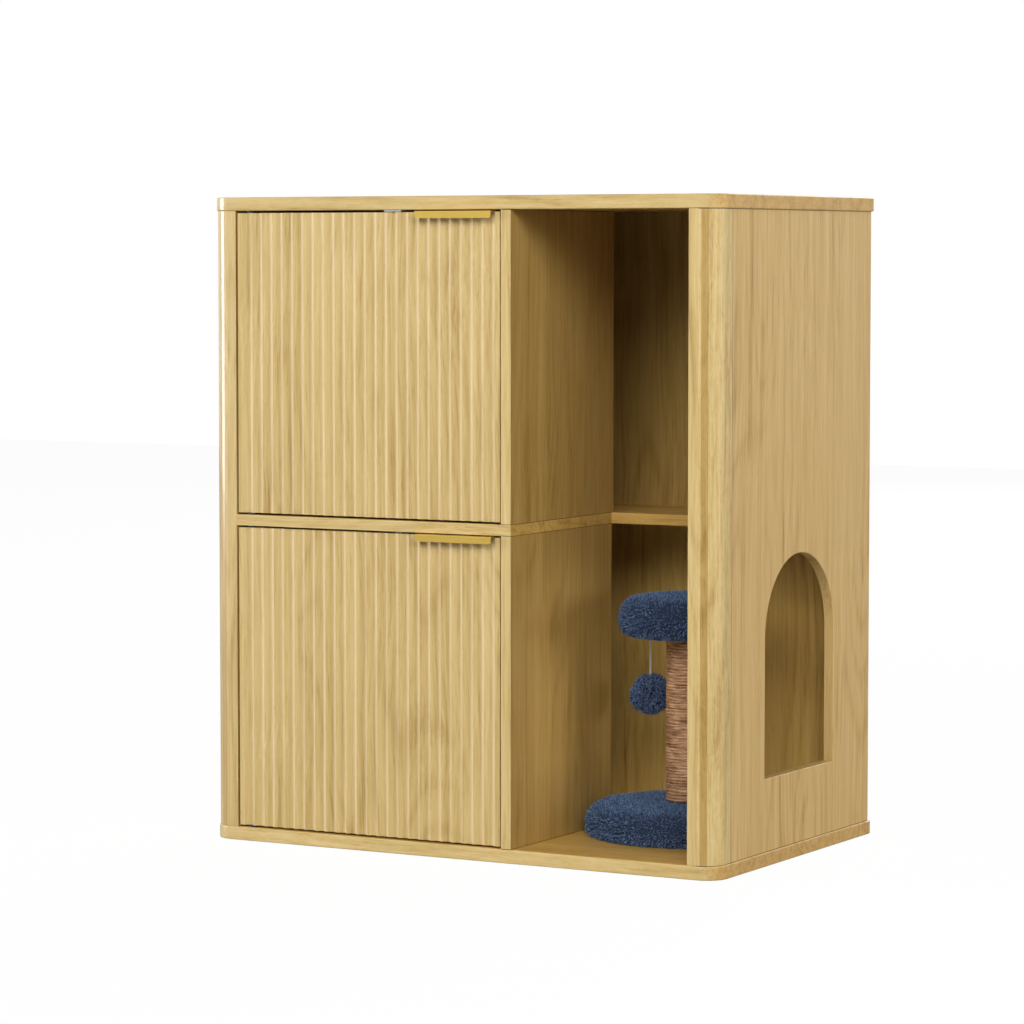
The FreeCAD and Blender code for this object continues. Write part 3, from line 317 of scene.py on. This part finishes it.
def oak(name, seed, along="Z", tint=OUTER, inner=INNER_SHADE, curl=0.0, seams=(), fluted=False):
    """Oak laminate with its grain along Z or X. Each seed has its own piece of figure.

    tint and inner multiply the colour on the outer and the inner faces, as painted shade where they
    take less light. curl is the reach of the curly figure. Each seam is (axis, place in mm): a line
    of painted shade along a joint across the board.
    """
    m = Material(name)
    x, y, z = m.split(m.place)
    depth = m.maths("MULTIPLY", y, FLUTED_DEPTH_SCALE) if fluted else y
    grain = {"Z": (x, depth, z), "X": (z, y, x)}[along]
    start = tuple(seed * step for step in SEED_STEP)
    space = swayed(m, m.scaled(m.joined(*grain), (1, 1, 1), start))
    tone, fibres, pores = oak_figure(m, space, curl)

    # Painted shade: the right-facing ends and the inner faces take darker tints.
    if along == "X":
        end = m.above(m.split(m.facing)[0], start=0.3, gain=1.6)
        tint = m.mix(end, tint, RIGHT_END_SHADE)
    tint = m.mix(is_inside(m, x, y, z), tint, inner)
    color = m.mix(1.0, m.ramp(tone, OAK_STOPS), tint, "MULTIPLY")
    # Painted highlight on the flutes' left-facing walls.
    if fluted:
        color = with_flute_highlights(m, color)
    # Painted shade along the joints between boards.
    for axis, place in seams:
        color = with_joint_shade(m, color, {"Y": y, "Z": z}[axis], place * MM)

    lacquered = m.maths("LESS_THAN", x, LACQUERED_X)
    m.set(Base_Color=color, Specular_IOR_Level=0.3)
    m.set(Roughness=m.plus(0.34, fibres, 0.16))
    m.set(Coat_Weight=m.maths("MULTIPLY", lacquered, LACQUER_WEIGHT), Coat_Roughness=0.12)
    height = m.maths("SUBTRACT", fibres, m.maths("MULTIPLY", pores, PORE_DEPTH))
    m.bump(height, distance=0.12 * MM, strength=0.5)
    return m.data


# A board's place in this list sets its seed.
BOARDS = {
    "left_side_panel": dict(),
    "right_corner_post": dict(curl=0.4, seams=[("Y", -200), ("Z", 19), ("Z", 881)]),
    "right_side_panel": dict(tint=SIDE_SHADE, seams=[("Z", 19), ("Z", 881)]),
    "left_front_stile": dict(),
    "right_front_stile": dict(),
    "upper_divider": dict(seams=[("Z", 458.5), ("Z", 881)]),
    "lower_divider": dict(seams=[("Z", 443.5), ("Z", 19)]),
    "upper_back_panel": dict(),
    "lower_back_panel": dict(inner=INNER_LIGHT_SHADE),
    "upper_door": dict(inner=OUTER, fluted=True),
    "lower_door": dict(inner=OUTER, fluted=True),
    "top_panel": dict(along="X", tint=TOP_SHADE, curl=0.3),
    "bottom_panel": dict(along="X", inner=INNER_LIGHT_SHADE, curl=0.3),
    "middle_shelf": dict(along="X", inner=INNER_LIGHT_SHADE, curl=0.12),
    "left_corner_post": dict(curl=0.12),
}


def dress_boards():
    """Each board gets its own piece of grain."""
    for seed, (node, choices) in enumerate(BOARDS.items(), start=1):
        paint(node, oak(node + "_oak", seed, **choices))


# ---------------------------------------------------------------- metals, plastics and inner pieces
def gold():
    """Satin metal, brushed along X."""
    m = Material("satin_gold")
    brushing = m.noise(m.place, scale=(14, 1400, 1400), detail=3, roughness=0.6)
    cloud = m.noise(m.place, scale=(30, 30, 30))
    m.set(Base_Color=m.mix(cloud, srgb(198, 168, 82), srgb(188, 156, 72)), Metallic=0.85)
    m.set(Roughness=m.plus(0.33, brushing, 0.16))
    m.bump(brushing, distance=0.03 * MM, strength=0.35)
    return m.data


def zinc_steel():
    """Zinc-plated steel with fine upright scratches."""
    m = Material("zinc_steel")
    cloud = m.noise(m.place, scale=(260, 260, 260), detail=3)
    scratches = m.noise(m.place, scale=(2200, 2200, 160))
    m.set(Base_Color=m.mix(cloud, srgb(205, 206, 208), srgb(168, 170, 172)), Metallic=1.0)
    m.set(Roughness=m.plus(0.25, scratches, 0.2))
    m.bump(scratches, distance=0.02 * MM, strength=0.4)
    return m.data


def moulded(name, color, darker, roughness):
    """Plain moulded or sintered material with a fine grained surface."""
    m = Material(name)
    grain = m.noise(m.place, scale=(1800, 1800, 1800))
    cloud = m.noise(m.place, scale=(60, 60, 60))
    m.set(Base_Color=m.mix(cloud, color, darker))
    m.set(Roughness=m.plus(roughness, grain, 0.12))
    m.bump(grain, distance=0.03 * MM, strength=0.5)
    return m.data


def fibrous(name, scale, noise_roughness, stops, roughness, bump_distance, bump_strength):
    """Raw wood or card: one noise of fibres gives both its colour and its surface."""
    m = Material(name)
    fibres = m.noise(m.place, scale, detail=4, roughness=noise_roughness)
    m.set(Base_Color=m.ramp(fibres, stops), Roughness=roughness)
    m.bump(fibres, bump_distance, bump_strength)
    return m.data


def dress_fittings():
    """Everything in the CAD that is neither a board nor replaced by a piece of the scene."""
    raw_wood = fibrous(
        "raw_wood", scale=(500, 500, 25), noise_roughness=0.6,
        stops=[(0.3, srgb(222, 196, 152)), (0.7, srgb(196, 162, 116))],
        roughness=0.7, bump_distance=0.1 * MM, bump_strength=0.6)
    raw_card = fibrous(
        "raw_card", scale=(420, 420, 420), noise_roughness=0.7,
        stops=[(0.35, srgb(176, 146, 112)), (0.65, srgb(150, 120, 88))],
        roughness=0.85, bump_distance=0.08 * MM, bump_strength=0.5)
    grey = moulded("catch_grey", srgb(138, 139, 143), srgb(120, 121, 126), roughness=0.5)
    pale_grey = moulded("catch_pale_grey", srgb(176, 182, 190), srgb(164, 170, 178), roughness=0.4)
    nylon = moulded("black_nylon", srgb(36, 36, 38), srgb(28, 28, 30), roughness=0.5)
    ferrite = moulded("ferrite", srgb(56, 57, 60), srgb(44, 45, 48), roughness=0.55)
    fittings = [
        (gold(), ["upper_door_pull", "lower_door_pull"]),
        (zinc_steel(), [
            "upper_pull_screws", "lower_pull_screws", "upper_hinge_pins", "lower_hinge_pins",
            "catch_pole_plates", "catch_screws", "upper_strike_plate", "lower_strike_plate",
            "upper_strike_screws", "lower_strike_screws", "cam_bolts", "cam_nuts",
            "tree_anchor_bolt", "perch_bolt", "toy_screw_eye", "toy_link_ring"]),
        (raw_wood, [
            "wood_dowels", "shelf_through_dowels", "tree_base_board", "perch_board",
            "pole_end_plugs"]),
        (raw_card, ["pole_core_tube"]),
        (grey, ["upper_catch_housing", "lower_catch_housing"]),
        (pale_grey, ["upper_catch_lip"]),
        (nylon, ["hinge_bushings"]),
        (ferrite, ["catch_magnets"]),
    ]
    for material, names in fittings:
        for node in names:
            paint(node, material)


# ---------------------------------------------------------------- meshes
def mesh_piece(name, vertices, faces, material, attributes=None, smooth=True):
    """A mesh object with a material and any per-point values."""
    mesh = bpy.data.meshes.new(name)
    mesh.from_pydata([tuple(v) for v in vertices], [], [tuple(int(i) for i in f) for f in faces])
    mesh.validate()
    if smooth:
        mesh.shade_smooth()
    for key, values in (attributes or {}).items():
        layer = mesh.attributes.new(key, "FLOAT", "POINT")
        layer.data.foreach_set("value", np.asarray(values, np.float32))
    mesh.materials.append(material)
    piece = bpy.data.objects.new(name, mesh)
    bpy.context.scene.collection.objects.link(piece)
    return piece


def unit(vectors):
    """Each row of an array scaled to a length of one."""
    return vectors / np.linalg.norm(vectors, axis=-1, keepdims=True)


def ring_faces(count, sides):
    """Faces that join closed rings of points one after the other and close both ends."""
    faces = []
    for ring in range(count - 1):
        for side in range(sides):
            a = ring * sides + side
            b = ring * sides + (side + 1) % sides
            faces.append((a, b, b + sides, a + sides))
    faces.append(tuple(reversed(range(sides))))
    faces.append(tuple(range((count - 1) * sides, count * sides)))
    return faces


def turned_mesh(centre, outline, sides):
    """Vertices and faces of an outline of (radius, height) turned about an upright axis."""
    vertices = []
    for radius, height in outline:
        for side in range(sides):
            angle = 2 * math.pi * side / sides
            x = centre.x + radius * math.cos(angle)
            y = centre.y + radius * math.sin(angle)
            vertices.append((x, y, height))
    return vertices, ring_faces(len(outline), sides)


def tube_along(points, sides_a, sides_b, radii, sides):
    """A closed tube round a line of points, given two cross directions and a radius at each."""
    angles = np.arange(sides) * 2 * math.pi / sides
    cos = np.cos(angles)[None, :, None]
    sin = np.sin(angles)[None, :, None]
    outward = sides_a[:, None, :] * cos + sides_b[:, None, :] * sin
    rings = points[:, None, :] + radii[:, None, None] * outward
    return rings.reshape(-1, 3), ring_faces(len(points), sides)


# ---------------------------------------------------------------- plush
# A tuft has three points at its root, three at its bend and one at its tip.
TUFT_FACES = [(0, 1, 4, 3), (1, 2, 5, 4), (2, 0, 3, 5), (3, 4, 6), (4, 5, 6), (5, 3, 6), (2, 1, 0)]
TUFT_PILE = [0.0, 0.0, 0.0, 0.5, 0.5, 0.5, 1.0]
# The least and the largest length and width of a tuft, and its width at the bend, as shares.
TUFT_LENGTHS = (0.7, 1.25)
TUFT_WIDTHS = (0.75, 1.2)
BEND_WIDTH = 0.8

# How far points are shaken from even rows, as shares of their spacing.
SHAKE_ROUND = 0.3
SHAKE_ACROSS = 0.25

# The pads' pile. Its roots lie this far along the normal from the core's surface.
PILE_ROOTS = (-0.3 * MM, 0.6 * MM)
PILE_LENGTH = 5.2 * MM
PILE_WIDTH = 2.1 * MM
PILE_SPACING = 2.5 * MM

# How far a pad's core stays inside the CAD form, at its side and on its top.
PILE_RISE = 3.6 * MM
PILE_RISE_ON_TOP = 1.2 * MM
CROWN = 3.0 * MM
PAD_SIDES = 96
CLEARANCE = 0.2 * MM


def plush(name, root, middle, tip):
    """Dense pile with painted shade: dark at the roots between the tufts, lighter towards their
    tips.
    """
    m = Material(name)
    height = m.attribute("pile")
    shade = m.attribute("shade")
    patch = m.noise(m.place, scale=(70, 70, 70))
    lift = m.maths("ADD", height, m.centred(shade, reach=0.32))
    lift = m.maths("ADD", lift, m.centred(patch, reach=0.22), clamp=True)
    color = m.ramp(lift, [(0.0, root), (0.55, middle), (1.0, tip)])
    fuzz = m.noise(m.place, scale=(1600, 1600, 1600))
    m.set(Base_Color=color, Roughness=0.9, Specular_IOR_Level=0.2)
    m.set(Sheen_Weight=0.3, Sheen_Roughness=0.5, Sheen_Tint=srgb(150, 170, 210))
    m.bump(fuzz, distance=0.25 * MM, strength=0.6)
    return m.data


def tufts(rng, points, normals, length, width, lean, curl, droop):
    """Closed bent tufts on a surface: vertices, faces, and each vertex's pile height and shade."""
    count = len(points)
    lengths = length * rng.uniform(*TUFT_LENGTHS, (count, 1))
    widths = width * rng.uniform(*TUFT_WIDTHS, (count, 1))
    down = np.array((0.0, 0.0, -droop))
    first = unit(normals + lean * rng.normal(size=(count, 3)))
    second = unit(first + curl * rng.normal(size=(count, 3)) + down)
    side = unit(np.cross(first, unit(rng.normal(size=(count, 3)))))
    other = np.cross(first, side)
    bend = points + first * lengths * 0.5
    tip = bend + second * lengths * 0.5
    rows = []
    for centre, share in ((points - normals * width, 1.0), (bend, BEND_WIDTH)):
        for corner in range(3):
            angle = 2 * math.pi * corner / 3
            outward = side * math.cos(angle) + other * math.sin(angle)
            rows.append(centre + outward * widths * share / 2)
    rows.append(tip)
    vertices = np.stack(rows, axis=1).reshape(-1, 3)
    faces = []
    for index in range(count):
        for face in TUFT_FACES:
            faces.append(tuple(len(rows) * index + corner for corner in face))
    pile = np.tile(TUFT_PILE, count)
    shade = np.repeat(rng.uniform(0, 1, count), len(rows))
    return vertices, faces, pile, shade


def profile_points(outline, spacing):
    """Evenly spaced (radius, height, normal) along a polyline of (radius, height)."""
    samples = []
    for (r0, z0), (r1, z1) in zip(outline, outline[1:]):
        run = math.hypot(r1 - r0, z1 - z0)
        steps = max(1, round(run / spacing))
        normal = ((z1 - z0) / run, -(r1 - r0) / run)
        for step in range(steps):
            share = (step + 0.5) / steps
            samples.append((r0 + (r1 - r0) * share, z0 + (z1 - z0) * share, normal))
    return samples


def scatter_on_turned(rng, centre, outline, spacing):
    """Even, slightly shaken points and normals on a surface turned about an upright axis."""
    points, normals = [], []
    shake = SHAKE_ACROSS * spacing
    for row, (radius, height, normal) in enumerate(profile_points(outline, spacing)):
        normal_r, normal_z = normal
        count = max(1, round(2 * math.pi * radius / spacing))
        angles = (np.arange(count) + 0.5 * (row % 2)) * 2 * math.pi / count
        angles = angles + rng.normal(0, SHAKE_ROUND * spacing / max(radius, spacing), count)
        radii = radius + rng.normal(0, shake, count) * normal_z
        heights = height + rng.normal(0, shake, count) * normal_r
        cos, sin = np.cos(angles), np.sin(angles)
        points.append(np.stack([centre.x + radii * cos, centre.y + radii * sin, heights], 1))
        normals.append(np.stack([normal_r * cos, normal_r * sin, np.full(count, normal_z)], 1))
    return np.concatenate(points), np.concatenate(normals)


def plush_core(name, centre, outline, sides, material):
    """The turned body under a pile, in the colour of the pile's roots: painted shade between the
    tufts.
    """
    vertices, faces = turned_mesh(centre, outline, sides)
    zeros = np.zeros(len(vertices))
    return mesh_piece(name, vertices, faces, material, {"pile": zeros, "shade": zeros})


def plush_pile(name, material, vertices, faces, pile, shade):
    """The tufts of a pile as one piece."""
    values = {"pile": pile, "shade": shade}
    return mesh_piece(name, vertices, faces, material, values, smooth=False)


def arc(r, z, radius, start, steps):
    """A quarter turn of (radius, height) points round (r, z), up from an angle."""
    angles = [start + math.pi / 2 * step / steps for step in range(steps + 1)]
    return [(r + radius * math.cos(angle), z + radius * math.sin(angle)) for angle in angles]


def rounded_outline(radius, low_z, high_z, low_radius, high_radius, inner_radius, steps=10):
    """Outline of a pad, from under its middle, round its side, to the top: (radius, height)."""
    shoulder_z = high_z - CROWN
    outline = [(inner_radius, low_z)]
    outline += arc(radius - low_radius, low_z + low_radius, low_radius, -math.pi / 2, steps)
    outline += arc(radius - high_radius, shoulder_z - high_radius, high_radius, 0.0, steps)
    flat = radius - high_radius
    for step in range(1, steps + 1):
        share = 1 - step / steps
        r = inner_radius + (flat - inner_radius) * share
        outline.append((r, high_z - CROWN * share ** 2))
    return outline


def pad(name, node, material, x_limits, low_radius, high_radius, inner_radius, under, seed):
    """A plush pad: a turned core, set in from the CAD form, and the pile that fills the rest.

    under is how far the core stays above the form's underside. The pile stops at the x_limits.
    """
    low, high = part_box(node)
    centre = (low + high) / 2
    outline = rounded_outline(
        radius=(high.x - low.x) / 2 - PILE_RISE,
        low_z=low.z + under,
        high_z=high.z - PILE_RISE_ON_TOP,
        low_radius=low_radius - under,
        high_radius=high_radius - PILE_RISE_ON_TOP,
        inner_radius=inner_radius)
    core = plush_core(name, centre, outline, PAD_SIDES, material)
    rng = np.random.default_rng(seed)
    points, normals = scatter_on_turned(rng, centre, outline, PILE_SPACING)
    points += normals * rng.uniform(*PILE_ROOTS, (len(points), 1))
    vertices, faces, pile, shade = tufts(
        rng, points, normals, PILE_LENGTH, PILE_WIDTH, lean=0.42, curl=0.6, droop=0.12)
    vertices[:, 0] = np.clip(vertices[:, 0], *x_limits)
    vertices[:, 2] = np.maximum(vertices[:, 2], low.z + CLEARANCE)
    fur = plush_pile(name + "_pile", material, vertices, faces, pile, shade)
    for piece in (core, fur):
        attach(piece, "cabinet")
        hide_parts(node)


def make_pads():
    """The base and the perch of the cat tree, between the lower divider and the right side."""
    # The first colour, at the roots, is painted shade between the tufts.
    material = plush("navy_pile", srgb(43, 57, 82), srgb(82, 104, 140), srgb(120, 148, 187))
    wall_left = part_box("lower_divider")[1].x + CLEARANCE
    wall_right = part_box("right_side_panel")[0].x - CLEARANCE
    limits = (wall_left, wall_right)
    pad("base_pad", "tree_base_cover", material, limits, low_radius=12 * MM, high_radius=22 * MM,
        inner_radius=26 * MM, under=0.5 * MM, seed=11)
    pad("perch_pad", "perch_cover", material, limits, low_radius=20 * MM, high_radius=25 * MM,
        inner_radius=0.5 * MM, under=3 * MM, seed=12)


# ---------------------------------------------------------------- wound pole
ROPE_RADIUS = 2.25 * MM
ROPE_PITCH = 4.15 * MM
ROPE_STEPS_PER_TURN = 60
ROPE_SIDES = 8
ROPE_SEED = 21


def rope_material():
    """Coarse twisted fibre in pale and dark strands."""
    m = Material("wound_rope")
    strands = m.noise(m.place, scale=(60, 60, 900), detail=4, roughness=0.65, distortion=0.4)
    fibres = m.noise(m.place, scale=(260, 260, 2600))
    patches = m.noise(m.place, scale=(30, 30, 60))
    tone = m.maths("ADD", strands, m.centred(patches, reach=0.22))
    tone = m.maths("ADD", tone, m.centred(fibres, reach=0.12), clamp=True)
    color = m.ramp(tone, [
        (0.3, srgb(100, 65, 44)), (0.5, srgb(200, 155, 117)), (0.7, srgb(252, 217, 180))])
    m.set(Base_Color=color, Roughness=0.85, Specular_IOR_Level=0.25)
    m.bump(m.plus(strands, fibres, 0.5), distance=0.5 * MM, strength=0.8)
    return m.data


def wander(rng, share, knots, reach):
    """A value along a line that strays from zero by about reach, between random knots."""
    return np.interp(share, np.linspace(0, 1, knots), rng.normal(0, reach, knots))


def make_pole():
    """One rope wound round the core from the base pad to the perch."""
    low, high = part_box("sisal_winding")
    core_low, core_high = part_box("pole_core_tube")
    centre = (core_low + core_high) / 2
    path_radius = (high.y - low.y) / 2 - ROPE_RADIUS
    low_z, high_z = low.z + ROPE_RADIUS, high.z - ROPE_RADIUS
    turns = (high_z - low_z) / ROPE_PITCH
    steps = int(turns * ROPE_STEPS_PER_TURN)
    rng = np.random.default_rng(ROPE_SEED)
    share = np.linspace(0, 1, steps + 1)
    angle = 2 * math.pi * turns * share
    height = low_z + (high_z - low_z) * share + wander(rng, share, knots=400, reach=0.28 * MM)
    radius = path_radius + wander(rng, share, knots=900, reach=0.16 * MM)
    thickness = ROPE_RADIUS * (1 + wander(rng, share, knots=1400, reach=0.07))
    thickness = np.minimum(thickness, radius - (core_high.x - centre.x))
    outward = np.stack([np.cos(angle), np.sin(angle), np.zeros_like(angle)], 1)
    upward = np.tile((0.0, 0.0, 1.0), (steps + 1, 1))
    points = np.array((centre.x, centre.y, 0)) + outward * radius[:, None]
    points[:, 2] = np.clip(height, low_z, high_z)
    vertices, faces = tube_along(points, outward, upward, thickness, ROPE_SIDES)
    rope = mesh_piece("pole_rope", vertices, faces, rope_material())
    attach(rope, "cabinet")
    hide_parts("sisal_winding")


# ---------------------------------------------------------------- hanging toy
# The string leaves its knot at this height, hangs in sight and ends inside the pompom.
CORD_TOP_Z = 286.356 * MM
CORD_SHOWN = 48.0 * MM
CORD_IN_POMPOM = 14.0 * MM
CORD_LENGTH = CORD_SHOWN + CORD_IN_POMPOM
CORD_DIAMETER = 3.2 * MM
CORD_STRANDS = 3
CORD_TWISTS = 7.5
STRAND_RADIUS = CORD_DIAMETER * 0.29
STRING_SIDES = 8

# The knot. Its scale and its string's radius are shares of half the height of its box.
KNOT_SCALE = 0.24
KNOT_STRING_RADIUS = 0.3
KNOT_HEIGHT = 1.3
KNOT_STEPS = 72

# The pompom. The first four are shares of its radius.
YARN_LENGTH = 0.24
YARN_ROOT = 0.72
LUMP_RISE = 0.12
POMPOM_CORE = 0.78
YARN_WIDTH = 2.2 * MM
YARN_COUNT = 2600
LUMP_COUNT = 26
POMPOM_SEED = 31
POMPOM_CORE_SIDES = 40
POMPOM_CORE_RINGS = 24
POMPOM_CORE_ANGLE = 1.5
# A lump ends where the cosine of the angle from its middle is one less this.
LUMP_REACH = 0.2


def string_material():
    """White twisted cotton."""
    m = Material("white_string")
    twist = m.noise(m.place, scale=(1800, 1800, 500), detail=3)
    m.set(Base_Color=m.ramp(twist, [(0.3, srgb(214, 214, 212)), (0.7, srgb(240, 240, 238))]))
    m.set(Roughness=0.8)
    m.bump(twist, distance=0.1 * MM, strength=0.6)
    return m.data


def spline_points(name, route, steps):
    """Points along the smooth curve that has the route's points as its control points."""
    curve = bpy.data.curves.new(name, "CURVE")
    curve.dimensions = "3D"
    curve.resolution_u = steps
    spline = curve.splines.new("NURBS")
    spline.points.add(len(route) - 1)
    for point, place in zip(spline.points, route):
        point.co = (*place, 1.0)
    spline.order_u = 3
    spline.use_endpoint_u = True
    holder = bpy.data.objects.new(name, curve)
    line = bpy.data.meshes.new_from_object(holder)
    points = np.array([vertex.co for vertex in line.vertices])
    bpy.data.objects.remove(holder)
    bpy.data.curves.remove(curve)
    bpy.data.meshes.remove(line)
    return points


def make_toy():
    """The string in three twisted strands, with its knot above and the pompom on its end."""
    material = string_material()
    low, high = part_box("toy_cord")
    x, y = (low.x + high.x) / 2, (low.y + high.y) / 2
    route = [Vector((x, y, CORD_TOP_Z - CORD_LENGTH * share)) for share in (0, 0.33, 0.67, 1)]
    line = spline_points("toy_cord_route", route, 24)
    down = (line[0][2] - line[:, 2]) / CORD_LENGTH
    strand_offset = CORD_DIAMETER / 2 - STRAND_RADIUS
    radii = np.full(len(line), STRAND_RADIUS)
    vertices, faces = [], []
    for strand in range(CORD_STRANDS):
        turn = 2 * math.pi * (down * CORD_TWISTS + strand / CORD_STRANDS)
        outward = np.stack([np.cos(turn), np.sin(turn), np.zeros_like(turn)], 1)
        sideways = np.stack([-np.sin(turn), np.cos(turn), np.zeros_like(turn)], 1)
        path = line + outward * strand_offset
        more, loops = tube_along(path, outward, sideways, radii, STRING_SIDES)
        faces += [tuple(index + len(vertices) for index in loop) for loop in loops]
        vertices += list(more)
    cord = mesh_piece("toy_string", vertices, faces, material)
    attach(cord, "toy")
    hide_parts("toy_cord")

    knot = make_knot(material)
    ball = make_pompom()


def make_knot(material):
    """A small overhand knot, as a trefoil of the same string."""
    low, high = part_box("toy_knot")
    centre, size = (low + high) / 2, (high.z - low.z) / 2
    t = np.linspace(0, 2 * math.pi, KNOT_STEPS, endpoint=False)
    trefoil = [
        np.sin(t) + 2 * np.sin(2 * t),
        np.cos(t) - 2 * np.cos(2 * t),
        -KNOT_HEIGHT * np.sin(3 * t)]
    line = np.stack(trefoil, 1) * (size * KNOT_SCALE) + np.array(centre)
    ahead = unit(np.roll(line, -1, 0) - np.roll(line, 1, 0))
    side = unit(np.cross(ahead, np.array((0.3, 0.2, 1.0))))
    other = np.cross(ahead, side)
    closed = [np.concatenate([rows, rows[:1]]) for rows in (line, side, other)]
    radii = np.full(KNOT_STEPS + 1, size * KNOT_STRING_RADIUS)
    vertices, faces = tube_along(*closed, radii, STRING_SIDES)
    knot = mesh_piece("toy_string_knot", vertices, faces, material)
    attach(knot, "toy")
    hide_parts("toy_knot")
    return knot


def even_directions(count):
    """Directions spread evenly over a sphere, along a spiral."""
    index = np.arange(count)
    z = 1 - (2 * index + 1) / count
    around = index * math.pi * (3 - math.sqrt(5))
    ring = np.sqrt(1 - z * z)
    return np.stack([ring * np.cos(around), ring * np.sin(around), z], 1)


def make_pompom():
    """A lumpy ball of short yarn tufts."""
    low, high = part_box("toy_pompom")
    centre = (low + high) / 2
    radius = (high.x - low.x) / 2
    # The first colour, at the roots, is painted shade between the tufts.
    material = plush("navy_yarn_tufts", srgb(33, 45, 67), srgb(80, 101, 136), srgb(130, 155, 194))
    rng = np.random.default_rng(POMPOM_SEED)
    normals = even_directions(YARN_COUNT)
    lumps = unit(rng.normal(size=(LUMP_COUNT, 3)))
    nearness = np.max(normals @ lumps.T, axis=1)
    lump = np.clip((nearness - (1 - LUMP_REACH)) / LUMP_REACH, 0, 1)
    depth = radius * (YARN_ROOT + LUMP_RISE * lump)
    points = np.array(centre) + normals * depth[:, None]
    vertices, faces, pile, shade = tufts(
        rng, points, normals, radius * YARN_LENGTH, YARN_WIDTH, lean=0.5, curl=0.8, droop=0.0)
    fur = plush_pile("pompom_pile", material, vertices, faces, pile, shade)
    core_radius = radius * POMPOM_CORE
    angles = np.linspace(-POMPOM_CORE_ANGLE, POMPOM_CORE_ANGLE, POMPOM_CORE_RINGS)
    outline = [(core_radius * math.cos(a), centre.z + core_radius * math.sin(a)) for a in angles]
    core = plush_core("pompom_core", centre, outline, POMPOM_CORE_SIDES, material)
    for piece in (fur, core):
        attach(piece, "toy")
        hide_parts("toy_pompom")
    return fur, core


# ---------------------------------------------------------------- floor, light and camera
# The floor's tone is linear. It glows for the camera only, by this share.
FLOOR_TONE = (0.5, 0.5, 0.5, 1.0)
FLOOR_GLOW = 1.04
FLOOR_GLOW_SHARE = 0.93
FLOOR_HALF_WIDTH = 9.0

LAMP_TARGET = (0, 0, 0.45)
LAMP_DISTANCE = 8.0
LAMP_SIZE = 3.2
LAMPS = [
    # name, degrees to the right of the front, degrees up, watts
    ("left", -67, 8, 400),
    ("front", 3, 25, 185),
    ("front_right", 31, 30, 245),
    ("right", 60, 18, 175),
    ("side", 108, 3, 215),
    ("back", 184, 16, 300),
]

# The place in metres, the angles in degrees, the lens and the sensor in millimetres.
CAMERA_PLACE = (2.61234, -4.73591, 0.82306)
CAMERA_YAW = 29.334
CAMERA_PITCH = -3.851
CAMERA_LENS = 135.36
CAMERA_SENSOR = 36.0
CAMERA_CLIP_END = 60.0


def make_floor():
    """A wide floor: grey where it bounces light, near white where the camera sees it."""
    m = Material("pale_floor")
    m.set(Base_Color=FLOOR_TONE, Roughness=0.9, Specular_IOR_Level=0.1)
    glow = m.nodes.new("ShaderNodeEmission")
    glow.inputs["Strength"].default_value = FLOOR_GLOW
    path = m.nodes.new("ShaderNodeLightPath")
    blend = m.nodes.new("ShaderNodeMixShader")
    seen = m.maths("MULTIPLY", path.outputs["Is Camera Ray"], FLOOR_GLOW_SHARE)
    m.plug(blend.inputs[0], seen)
    m.plug(blend.inputs[1], m.shader.outputs[0])
    m.plug(blend.inputs[2], glow.outputs[0])
    m.plug(m.nodes["Material Output"].inputs["Surface"], blend.outputs[0])
    half = FLOOR_HALF_WIDTH
    corners = [(-half, -half, 0), (half, -half, 0), (half, half, 0), (-half, half, 0)]
    floor = mesh_piece("studio_floor", corners, [(0, 1, 2, 3)], m.data, smooth=False)


def make_world():
    """White to the camera, in reflections and in refractions, and black to all other light."""
    world = bpy.data.worlds.new("studio")
    bpy.context.scene.world = world
    world.use_nodes = True
    tree = world.node_tree
    background = tree.nodes["Background"]
    background.inputs["Color"].default_value = (1, 1, 1, 1)
    path = tree.nodes.new("ShaderNodeLightPath")
    seen = path.outputs["Is Camera Ray"]
    for ray in ("Is Glossy Ray", "Is Transmission Ray"):
        node = tree.nodes.new("ShaderNodeMath")
        node.operation = "MAXIMUM"
        tree.links.new(seen, node.inputs[0])
        tree.links.new(path.outputs[ray], node.inputs[1])
        seen = node.outputs[0]
    tree.links.new(seen, background.inputs["Strength"])


def make_lamps():
    """Square lamps, all at one distance from the cabinet's middle and facing it."""
    target = Vector(LAMP_TARGET)
    for name, azimuth, elevation, watts in LAMPS:
        light = bpy.data.lights.new(name, "AREA")
        light.shape = "SQUARE"
        light.size = LAMP_SIZE
        light.energy = watts
        lamp = bpy.data.objects.new(name, light)
        bpy.context.scene.collection.objects.link(lamp)
        around, up = math.radians(azimuth), math.radians(elevation)
        level = math.cos(up)
        outward = Vector((math.sin(around) * level, -math.cos(around) * level, math.sin(up)))
        lamp.location = target + LAMP_DISTANCE * outward
        lamp.rotation_euler = outward.to_track_quat("Z", "Y").to_euler()


def make_camera():
    """The camera that was fitted to the photo."""
    data = bpy.data.cameras.new("photo_camera")
    data.lens = CAMERA_LENS
    data.sensor_width = CAMERA_SENSOR
    data.clip_end = CAMERA_CLIP_END
    camera = bpy.data.objects.new("photo_camera", data)
    bpy.context.scene.collection.objects.link(camera)
    camera.location = CAMERA_PLACE
    camera.rotation_euler = Euler((math.radians(90 + CAMERA_PITCH), 0, math.radians(CAMERA_YAW)))
    bpy.context.scene.camera = camera


# ---------------------------------------------------------------- put together
dress_boards()
dress_fittings()
make_pads()
make_pole()
make_toy()
make_floor()
make_world()
make_lamps()
make_camera()
bpy.context.scene.view_settings.view_transform = "Standard"
